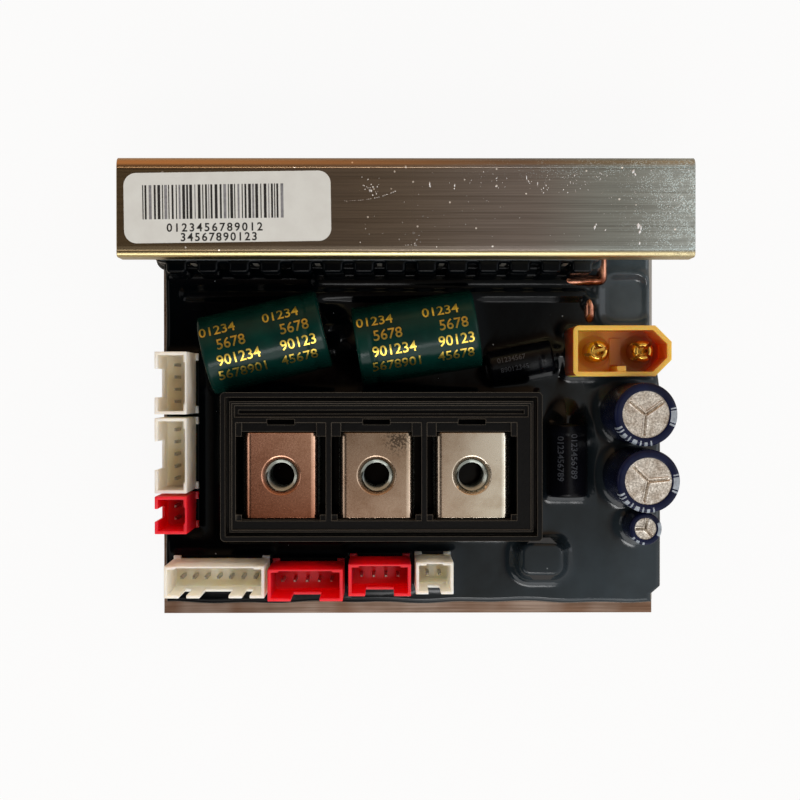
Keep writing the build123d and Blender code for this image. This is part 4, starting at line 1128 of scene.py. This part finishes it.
makeFrame()
for index, (low, high) in enumerate(terminalBoxes()):
    makeTerminal(index + 1, low, high)
print("terminal block made")


header = {"wall": 0.5, "foot": 0.5, "footWidth": 1.2, "footTop": 3.6, "floor": 4.0, "slot": 4.6,
          "slotNarrow": 2.0, "slotDepth": 9.0, "sideSlot": 1.2, "sideOffset": 5.05, "edge": 0.1}


def makeHeader(name, node, pinCount, facesLeft, material):
    low, high = cadBox(node + "_housing")
    bottom, top = low.z, high.z
    if facesLeft:
        length, depth = high.y - low.y, high.x - low.x - header["foot"]
        centre = (low.x + depth / 2, (low.y + high.y) / 2)
    else:
        length, depth = high.x - low.x, high.y - low.y - header["foot"]
        centre = ((low.x + high.x) / 2, low.y + depth / 2)
    half, halfDepth, wall = length / 2, depth / 2, header["wall"]
    piece = boxes(name, [(-half, half, -halfDepth, halfDepth, bottom, top)])
    floorLevel = bottom + header["floor"]
    cavity = (-half + wall, half - wall, -halfDepth + wall, halfDepth - wall, floorLevel, top + 1)
    carve(piece, boxes("cut", [cavity]))
    cuts = [(0, header["slot"] if pinCount > 2 else header["slotNarrow"])]
    if pinCount > 5:
        cuts += [(-header["sideOffset"], header["sideSlot"]), (header["sideOffset"], header["sideSlot"])]
    notches = [(middle - width / 2, middle + width / 2, -halfDepth - 1, -halfDepth + wall + 0.1,
                top - header["slotDepth"], top + 1) for middle, width in cuts]
    # the mouth is relieved along the back wall, between thicker ends
    notches.append((-half + 1.7, half - 1.7, halfDepth - wall - 0.1, halfDepth - wall + 0.22, top - 5.0,
                    top + 1))
    carve(piece, boxes("cut", notches))
    extras = [(side * (half - header["footWidth"] / 2) - header["footWidth"] / 2,
               side * (half - header["footWidth"] / 2) + header["footWidth"] / 2, halfDepth - 0.1,
               halfDepth + header["foot"], bottom, bottom + header["footTop"]) for side in (-1, 1)]
    carve(piece, boxes("extras", extras), "UNION")
    softenEdges(piece, header["edge"], 2)
    turn = Matrix.Rotation(radians(-90), 4, "Z") if facesLeft else Matrix.Identity(4)
    piece.data.transform(Matrix.Translation((*centre, 0)) @ turn)
    finishPiece(piece, material, [node + "_housing"])


def makePins(name, node, pinCount, facesLeft):
    # square posts with drawn, pointed tips
    low, high = cadBox(node + "_pins")
    half, tip = 0.25, 0.5
    verts, faces = [], []
    for index in range(pinCount):
        if facesLeft:
            x, y = (low.x + high.x) / 2, low.y + half + (high.y - low.y - 2 * half) * index / (pinCount - 1)
        else:
            x, y = low.x + half + (high.x - low.x - 2 * half) * index / (pinCount - 1), (low.y + high.y) / 2
        first = len(verts)
        for level, size in ((low.z, 0.12), (low.z + tip, half), (high.z - tip, half), (high.z - 0.08, 0.14),
                            (high.z, 0.1)):
            verts += [(x - size, y - size, level), (x + size, y - size, level), (x + size, y + size, level),
                      (x - size, y + size, level)]
        rows = [[first + row * 4 + corner for corner in (0, 1, 2, 3, 0)] for row in range(5)]
        faces += grid(rows) + [(first + 3, first + 2, first + 1, first),
                               (first + 16, first + 17, first + 18, first + 19)]
    finishPiece(newPiece(name, verts, faces), tin, [node + "_pins"], 30)


headers = [("left_header_rear", 4, True, False), ("left_header_middle", 5, True, False),
           ("left_header_front", 2, True, True), ("front_header_1", 7, False, False),
           ("front_header_2", 5, False, True), ("front_header_3", 4, False, True),
           ("front_header_4", 2, False, False)]
for node, pinCount, facesLeft, isRed in headers:
    words = node.split("_")
    name = words[0] + "".join(word.title() for word in words[1:])
    makeHeader(name + "Housing", node, pinCount, facesLeft, redNylon if isRed else whiteNylon)
    makePins(name + "Pins", node, pinCount, facesLeft)
print("headers made")


inlet = {"wall": 0.72, "chamfer": 2.6, "corner": 0.9, "cavity": 9.0, "edge": 0.16, "pitch": 7.2,
         "ringDiameter": 5.4, "ringDepth": 0.5, "barWidth": 1.8, "barDepth": 4.4, "keyWidth": 1.4,
         "keyDepth": 0.9}


def inletOutline(low, high, shrink):
    cut = inlet["chamfer"] - shrink * 0.5
    corner = max(inlet["corner"] - shrink, 0.2)
    left, right, front, back = low.x + shrink, high.x - shrink, low.y + shrink, high.y - shrink
    return ([(right - cut, front), (right, front + cut), (right, back - cut), (right - cut, back)]
            + arc(left + corner, back - corner, corner, 90, 180, 5)
            + arc(left + corner, front + corner, corner, 180, 270, 5))


def makeInlet():
    low, high = cadBox("inlet_housing")
    middle = (low + high) / 2
    floorLevel = high.z - inlet["cavity"]
    piece = prism("inletHousing", inletOutline(low, high, 0), low.z, high.z)
    carve(piece, prism("cut", inletOutline(low, high, inlet["wall"]), floorLevel, high.z + 1))
    for side in (-1, 1):
        place = Matrix.Translation((middle.x + side * inlet["pitch"] / 2, middle.y, 0))
        radius = inlet["ringDiameter"] / 2
        carve(piece, turned("ring", [(0, floorLevel - inlet["ringDepth"]),
                                     (radius, floorLevel - inlet["ringDepth"]), (radius, floorLevel + 0.5),
                                     (0, floorLevel + 0.5)], place, 48))
    bar = (middle.x - inlet["barWidth"] / 2 - 0.1, middle.x + inlet["barWidth"] / 2 - 0.1,
           middle.y - inlet["barDepth"] / 2, middle.y + inlet["barDepth"] / 2,
           floorLevel - 1.2, floorLevel + 0.5)
    key = (middle.x - 0.8, middle.x - 0.8 + inlet["keyWidth"],
           low.y + inlet["wall"] - 0.1, low.y + inlet["wall"] + inlet["keyDepth"],
           floorLevel - 0.1, high.z - 0.25)
    carve(piece, boxes("extras", [bar, key]), "UNION")
    softenEdges(piece, inlet["edge"], 3)
    finishPiece(piece, amberNylon, ["inlet_housing"])
    for name, node, side in (("inletContactPositive", "inlet_contact_positive", -1),
                             ("inletContactNegative", "inlet_contact_negative", 1)):
        contactLow, contactHigh = cadBox(node)
        place = Matrix.Translation((middle.x + side * inlet["pitch"] / 2, middle.y, 0))
        top, radius = contactHigh.z, (contactHigh.x - contactLow.x) / 2
        contact = turned(name, [(0, contactLow.z), (1.1, contactLow.z), (1.2, contactLow.z + 0.1), (1.2, 7.1),
                                (radius, 7.2), (radius, top - 0.75), (radius - 0.12, top - 0.4),
                                (radius - 0.35, top - 0.12), (radius - 0.6, top), (0.85, top - 0.05),
                                (0.72, top - 0.3), (0.72, top - 4.6), (0, top - 4.8)], place, 64)
        reach, slit = radius + 0.5, 0.26
        cross = [(-reach, reach, -slit, slit), (-slit, slit, -reach, reach)]
        slits = boxes("slits", [(*sides, top - 5.0, top + 1) for sides in cross])
        slits.data.transform(place @ Matrix.Rotation(radians(45 if side > 0 else 20), 4, "Z"))
        carve(contact, slits)
        softenEdges(contact, 0.06, 2, 40)
        finishPiece(contact, gold, [node])


makeInlet()
print("inlet made")


# turn: the way a lying can points; vent: where the legs of the scored cross run; marks: see makeLipMarks
wideMarks = [(-24, -20, 1.0), (-17, 8, 1.05), (11, 14, 1.0), (205, 209, 0.8), (213, 216, 0.8),
             (221, 229, 0.6), (234, 237, 0.8), (243, 252, 0.7), (258, 261, 0.8), (267, 273, 0.6),
             (279, 282, 0.8)]
narrowMarks = [(-30, 25, 0.6), (215, 222, 0.4), (232, 245, 0.4), (258, 266, 0.4)]
cans = {"bulkCapacitorLeft": {"node": "bulk_capacitor_left", "sleeve": greenSleeve, "slot": "sleeve_green",
                              "radius": 6.5, "length": 20.0, "turn": 13.5, "lip": 1.1},
        "bulkCapacitorRight": {"node": "bulk_capacitor_right", "sleeve": greenSleeve, "slot": "sleeve_green",
                               "radius": 6.5, "length": 20.0, "turn": 189.0, "lip": 1.1},
        "bypassCapacitor": {"node": "bypass_capacitor", "sleeve": blackSleeve, "slot": "sleeve_black",
                            "radius": 2.65, "length": 10.8, "turn": 11.0, "lip": 0.7},
        "filterCapacitor": {"node": "filter_capacitor", "sleeve": blackSleeve, "slot": "sleeve_black",
                            "radius": 3.4, "length": 12.2, "turn": 90.0, "lip": 0.8},
        "uprightCapacitorRear": {"node": "upright_capacitor_rear", "sleeve": navySleeve,
                                 "slot": "sleeve_navy", "radius": 5.0, "length": 20.0, "lip": 1.15,
                                 "vent": (140, 265, 35), "marks": wideMarks},
        "uprightCapacitorMiddle": {"node": "upright_capacitor_middle", "sleeve": navySleeve,
                                   "slot": "sleeve_navy", "radius": 5.0, "length": 20.0, "lip": 1.15,
                                   "vent": (135, 258, 5), "marks": wideMarks},
        "uprightCapacitorFront": {"node": "upright_capacitor_front", "sleeve": navySleeve,
                                  "slot": "sleeve_navy", "radius": 2.65, "length": 11.5, "lip": 0.75,
                                  "vent": (80, 310, 180), "marks": narrowMarks}}
canShape = {"film": 0.15, "shoulder": 0.55, "crimpAt": 2.6, "crimpDepth": 0.13, "crimpHalf": 0.7,
            "scoreDepth": 0.22, "scoreHalf": 0.2, "discSink": 0.22, "markReach": 3.4, "markLift": 0.015}


def canPlace(can):
    # the can's own axis runs up from its lead end
    low, high = cadBox(can["node"] + "_sleeve")
    middle = (low + high) / 2
    if "turn" not in can:
        return Matrix.Translation((middle.x, middle.y, low.z))
    return (Matrix.Translation(middle) @ Matrix.Rotation(radians(can["turn"]), 4, "Z")
            @ Matrix.Translation((can["length"] / 2, 0, 0)) @ Matrix.Rotation(radians(-90), 4, "Y"))


def makeSleeveOf(name, can):
    # the film wraps both ends in a lip and dips into the can's crimp
    radius, length, lip = can["radius"], can["length"], can["lip"]
    shoulder = min(canShape["shoulder"], radius * 0.16)
    small = radius < 4
    crimpAt = canShape["crimpAt"] * (0.8 if small else 1)
    crimpDepth, crimpHalf = canShape["crimpDepth"] * (0.6 if small else 1), canShape["crimpHalf"]
    film = canShape["film"]
    inner = radius - film - lip
    profile = [(inner, film), (inner, 0.0), (inner + 0.05, 0.0)]
    profile += [(radius - shoulder + shoulder * sin(a), shoulder - shoulder * cos(a))
                for a in [radians(15 * i) for i in range(0, 7)]]
    for i in range(13):
        share = -1 + i / 6
        profile.append((radius - crimpDepth * (0.5 + 0.5 * cos(pi * share)), crimpAt + share * crimpHalf))
    profile += [(radius, crimpAt + 1.4), (radius, length * 0.5), (radius, length - shoulder - 0.2)]
    profile += [(radius - shoulder + shoulder * cos(a), length - shoulder + shoulder * sin(a))
                for a in [radians(15 * i) for i in range(0, 7)]]
    profile += [(inner + 0.1, length), (inner, length - 0.04), (inner, length - film)]
    profile += [(radius - film, length - film), (radius - film, film)]
    profile.append(profile[0])
    piece = turned(name + "Sleeve", profile, canPlace(can), 120)
    faceOutward(piece, 0.001)
    finishPiece(piece, can["sleeve"], [can["node"] + "_sleeve"], 40)


def makeCanOf(name, can):
    # the drawn can inside its sleeve; the end that shows is scored so that it can vent
    radius, length = can["radius"] - canShape["film"] - 0.3, can["length"]
    sink = length - canShape["discSink"]
    rings, steps = 34, 240
    legs = [radians(angle) for angle in can.get("vent", ())]
    verts, rows = [(0, 0, sink)], [[0]]
    for ring in range(1, rings + 1):
        r = radius * ring / rings
        rows.append(list(range(len(verts), len(verts) + steps)))
        for step in range(steps):
            angle = 2 * pi * step / steps
            x, y = r * cos(angle), r * sin(angle)
            dip, lift = 0.0, 0.0
            for leg in legs:
                along, off = x * cos(leg) + y * sin(leg), abs(-x * sin(leg) + y * cos(leg))
                if -0.1 < along < radius * 0.72:
                    dip = max(dip, 1 - off / canShape["scoreHalf"])
                    lift = max(lift, 1 - abs(off / canShape["scoreHalf"] - 1.6) / 0.6)
            verts.append((x, y, sink - dip * canShape["scoreDepth"] + (0.07 * lift if dip == 0 else 0)))
    bottomRows = []
    for r, z in ((radius, length - canShape["film"] - 0.2), (radius, 0.2), (radius - 0.2, 0.15)):
        bottomRows.append(list(range(len(verts), len(verts) + steps)))
        verts += [(r * cos(2 * pi * s / steps), r * sin(2 * pi * s / steps), z) for s in range(steps)]
    faces = [(0, rows[1][s], rows[1][(s + 1) % steps]) for s in range(steps)]
    for inner, outer in zip(rows[1:] + bottomRows[:-1], rows[2:] + bottomRows):
        faces += [(inner[s], outer[s], outer[(s + 1) % steps], inner[(s + 1) % steps]) for s in range(steps)]
    faces.append(bottomRows[-1][::-1])
    piece = newPiece(name + "Can", verts, faces)
    piece.data.transform(canPlace(can))
    finishPiece(piece, canAluminium, [can["node"] + "_can"], 50)


digitShape = {"size": 2.42, "pitch": 2.62, "start": 0.46, "stroke": 0.02, "thickness": 0.02,
              "columns": [("01234", "5678", "901234", "5678901"), ("01234", "5678", "90123", "45678")],
              "offsets": (0.0, 2.4, 1.9, 1.5),
              "startsAlong": {"bulkCapacitorLeft": (19.8, 9.3), "bulkCapacitorRight": (0.5, 11.3)}}


def wrapText(name, can, rows, size, ink, startAngle, startAlong, rowPitch, readsOut, offsets):
    # plain digits printed around the sleeve: along the can's axis, with their rows stacked around it
    radius, place = can["radius"], canPlace(can)
    joined = []
    for row, words in enumerate(rows):
        piece = textMesh(f"{name}{row}", words, size, digitShape["thickness"], 1.0, digitShape["stroke"])
        work = bmesh.new()
        work.from_mesh(piece.data)
        heights = [v.co.y for v in work.verts]
        level = min(heights) + 0.3
        while level < max(heights):
            geometry = work.verts[:] + work.edges[:] + work.faces[:]
            bmesh.ops.bisect_plane(work, geom=geometry, plane_co=(0, level, 0), plane_no=(0, 1, 0), dist=1e-5)
            level += 0.35
        for v in work.verts:
            side = 1 if readsOut else -1
            around = side * (startAngle + (v.co.y - row * rowPitch) / radius)
            reach = radius + 0.022 + v.co.z
            along = startAlong - side * (v.co.x + offsets[row])
            v.co = place @ Vector((reach * cos(around), reach * sin(around), along))
        bmesh.ops.recalc_face_normals(work, faces=work.faces)
        work.to_mesh(piece.data)
        work.free()
        joined.append(piece)
    first = joined[0]
    if len(joined) > 1:
        with bpy.context.temp_override(active_object=first, selected_editable_objects=joined):
            bpy.ops.object.join()
    first.name = name
    finishPiece(first, ink, [], 40)


for name, can in cans.items():
    makeSleeveOf(name, can)
    makeCanOf(name, can)
for name, starts in digitShape["startsAlong"].items():
    for column, startAlong in enumerate(starts):
        wrapText(f"{name}Digits{column}", cans[name], digitShape["columns"][column], digitShape["size"],
                 goldInk, digitShape["start"], startAlong, digitShape["pitch"],
                 name.endswith("Left"), digitShape["offsets"])
wrapText("filterCapacitorDigits", cans["filterCapacitor"], ("0123456789", "0123456789"), 1.5, greyInk,
         0.1, 1.6, 2.3, False, (0.0, 0.4))
wrapText("bypassCapacitorDigits", cans["bypassCapacitor"], ("01234567", "89012345"), 1.2, greyInk,
         0.15, 9.4, 1.7, True, (0.0, 0.3))


def makeLipMarks(name, can):
    # pale printing that wrapped over the lip as the sleeve shrank, one patch from angle to angle
    radius, length, lift, place = can["radius"], can["length"], canShape["markLift"], canPlace(can)
    shoulder = min(canShape["shoulder"], radius * 0.16)
    profile = [(radius + lift, length - canShape["markReach"]), (radius + lift, length - shoulder)]
    profile += arc(radius - shoulder, length - shoulder, shoulder + lift, 0, 90, 5)
    verts, faces = [], []
    for first, last, inner in can["marks"]:
        steps = max(2, int(abs(last - first) / 4))
        rows = []
        for r, z in profile + [(radius - inner, length + lift)]:
            rows.append(list(range(len(verts), len(verts) + steps + 1)))
            for step in range(steps + 1):
                a = radians(first + (last - first) * step / steps)
                verts.append(place @ Vector((r * cos(a), r * sin(a), z)))
        faces += grid(rows)
    finishPiece(newPiece(name + "Marks", verts, faces), paleInk, [], 50)


for name, can in cans.items():
    if "marks" in can:
        makeLipMarks(name, can)
print("capacitors made")


view = {"place": (-3.0295, 0.9728, 289.5017), "turn": (-0.0071, -0.0082, -0.0006), "lens": 75.61,
        "sensor": 36.0}


def makeCamera():
    data = bpy.data.cameras.new("camera")
    data.lens = view["lens"]
    data.sensor_width = view["sensor"]
    data.clip_start = 0.01
    data.clip_end = 20
    camera = bpy.data.objects.new("camera", data)
    camera.location = Vector(view["place"]) * mm
    camera.rotation_euler = Euler(view["turn"], "XYZ")
    bpy.context.collection.objects.link(camera)
    bpy.context.scene.camera = camera


def makeFloor():
    # plain pale floor: it shows white but still takes the object's shadow
    size = 3.0
    mesh = bpy.data.meshes.new("floor")
    corners = [(-size, -size, 0), (size, -size, 0), (size, size, 0), (-size, size, 0)]
    mesh.from_pydata(corners, [], [(0, 1, 2, 3)])
    floor = bpy.data.objects.new("floor", mesh)
    floor.location.z = -0.0002
    bpy.context.collection.objects.link(floor)
    material = bpy.data.materials.new("paleFloor")
    material.use_nodes = True
    tree = material.node_tree
    shader = tree.nodes["Principled BSDF"]
    shader.inputs["Base Color"].default_value = linearOf("#d4d0c8")
    shader.inputs["Roughness"].default_value = 0.9
    output = tree.nodes["Material Output"]
    seen = addNode(tree, "LightPath").outputs["Is Camera Ray"]
    share = addNode(tree, "Math", seen, 0.92, operation="MULTIPLY")
    glow = addNode(tree, "Emission", "#ffffff", 1.0)
    feed(tree, output.inputs["Surface"], addNode(tree, "MixShader", share, shader, glow))
    mesh.materials.append(material)


def makeWorld():
    # a room with its windows to the front and right, and brown shade to the left and back
    world = bpy.data.worlds.new("room")
    bpy.context.scene.world = world
    world.use_nodes = True
    tree = world.node_tree
    background = tree.nodes["Background"]
    direction = addNode(tree, "TexCoord").outputs["Generated"]
    towards = addNode(tree, "VectorMath", direction, (0.5, -0.08, 0), operation="DOT_PRODUCT")
    side = addNode(tree, "Math", towards, 0.5, operation="ADD")
    tone = addNode(tree, "ValToRGB", side,
                   stops=[(0.0, "#5c544c"), (0.3, "#3c3733"), (0.43, "#231f1c"), (0.468, "#55372b"),
                          (0.5, "#a08370"), (0.525, "#c8bcae"), (0.545, "#d8d6ce"), (0.6, "#e8ecee"),
                          (0.8, "#ffffff")])
    x, y, z = addNode(tree, "SeparateXYZ", direction).outputs
    behind = addNode(tree, "MapRange", y, 0.2, 0.6, 0.0, 1.0)
    tone = addNode(tree, "Mix", behind, tone, "#dcb48e", data_type="RGBA")
    feed(tree, background.inputs["Color"], tone)
    background.inputs["Strength"].default_value = 1.0


def addLamp(name, place, size, power, colour="#ffffff"):
    data = bpy.data.lights.new(name, "AREA")
    data.shape = "RECTANGLE"
    data.size, data.size_y = size
    data.energy = power
    data.color = linearOf(colour)[:3]
    lamp = bpy.data.objects.new(name, data)
    lamp.location = place
    lamp.rotation_euler = (-Vector(place)).to_track_quat("-Z", "Y").to_euler()
    bpy.context.collection.objects.link(lamp)


makeCamera()
makeFloor()
makeWorld()
addLamp("frontWindow", (-0.1, -0.5, 0.42), (0.6, 0.4), 1.9, "#ffffff")
addLamp("rightWindow", (0.55, 0.08, 0.34), (0.3, 0.4), 0.55, "#f0f6ff")
addLamp("highWindow", (0.02, -0.29, 0.57), (0.14, 0.1), 0.5, "#ffffff")
addLamp("leftCard", (-0.55, 0.05, 0.4), (0.3, 0.4), 0.45, "#ffffff")
bpy.context.scene.view_settings.view_transform = "Standard"
print("camera, floor and light made")
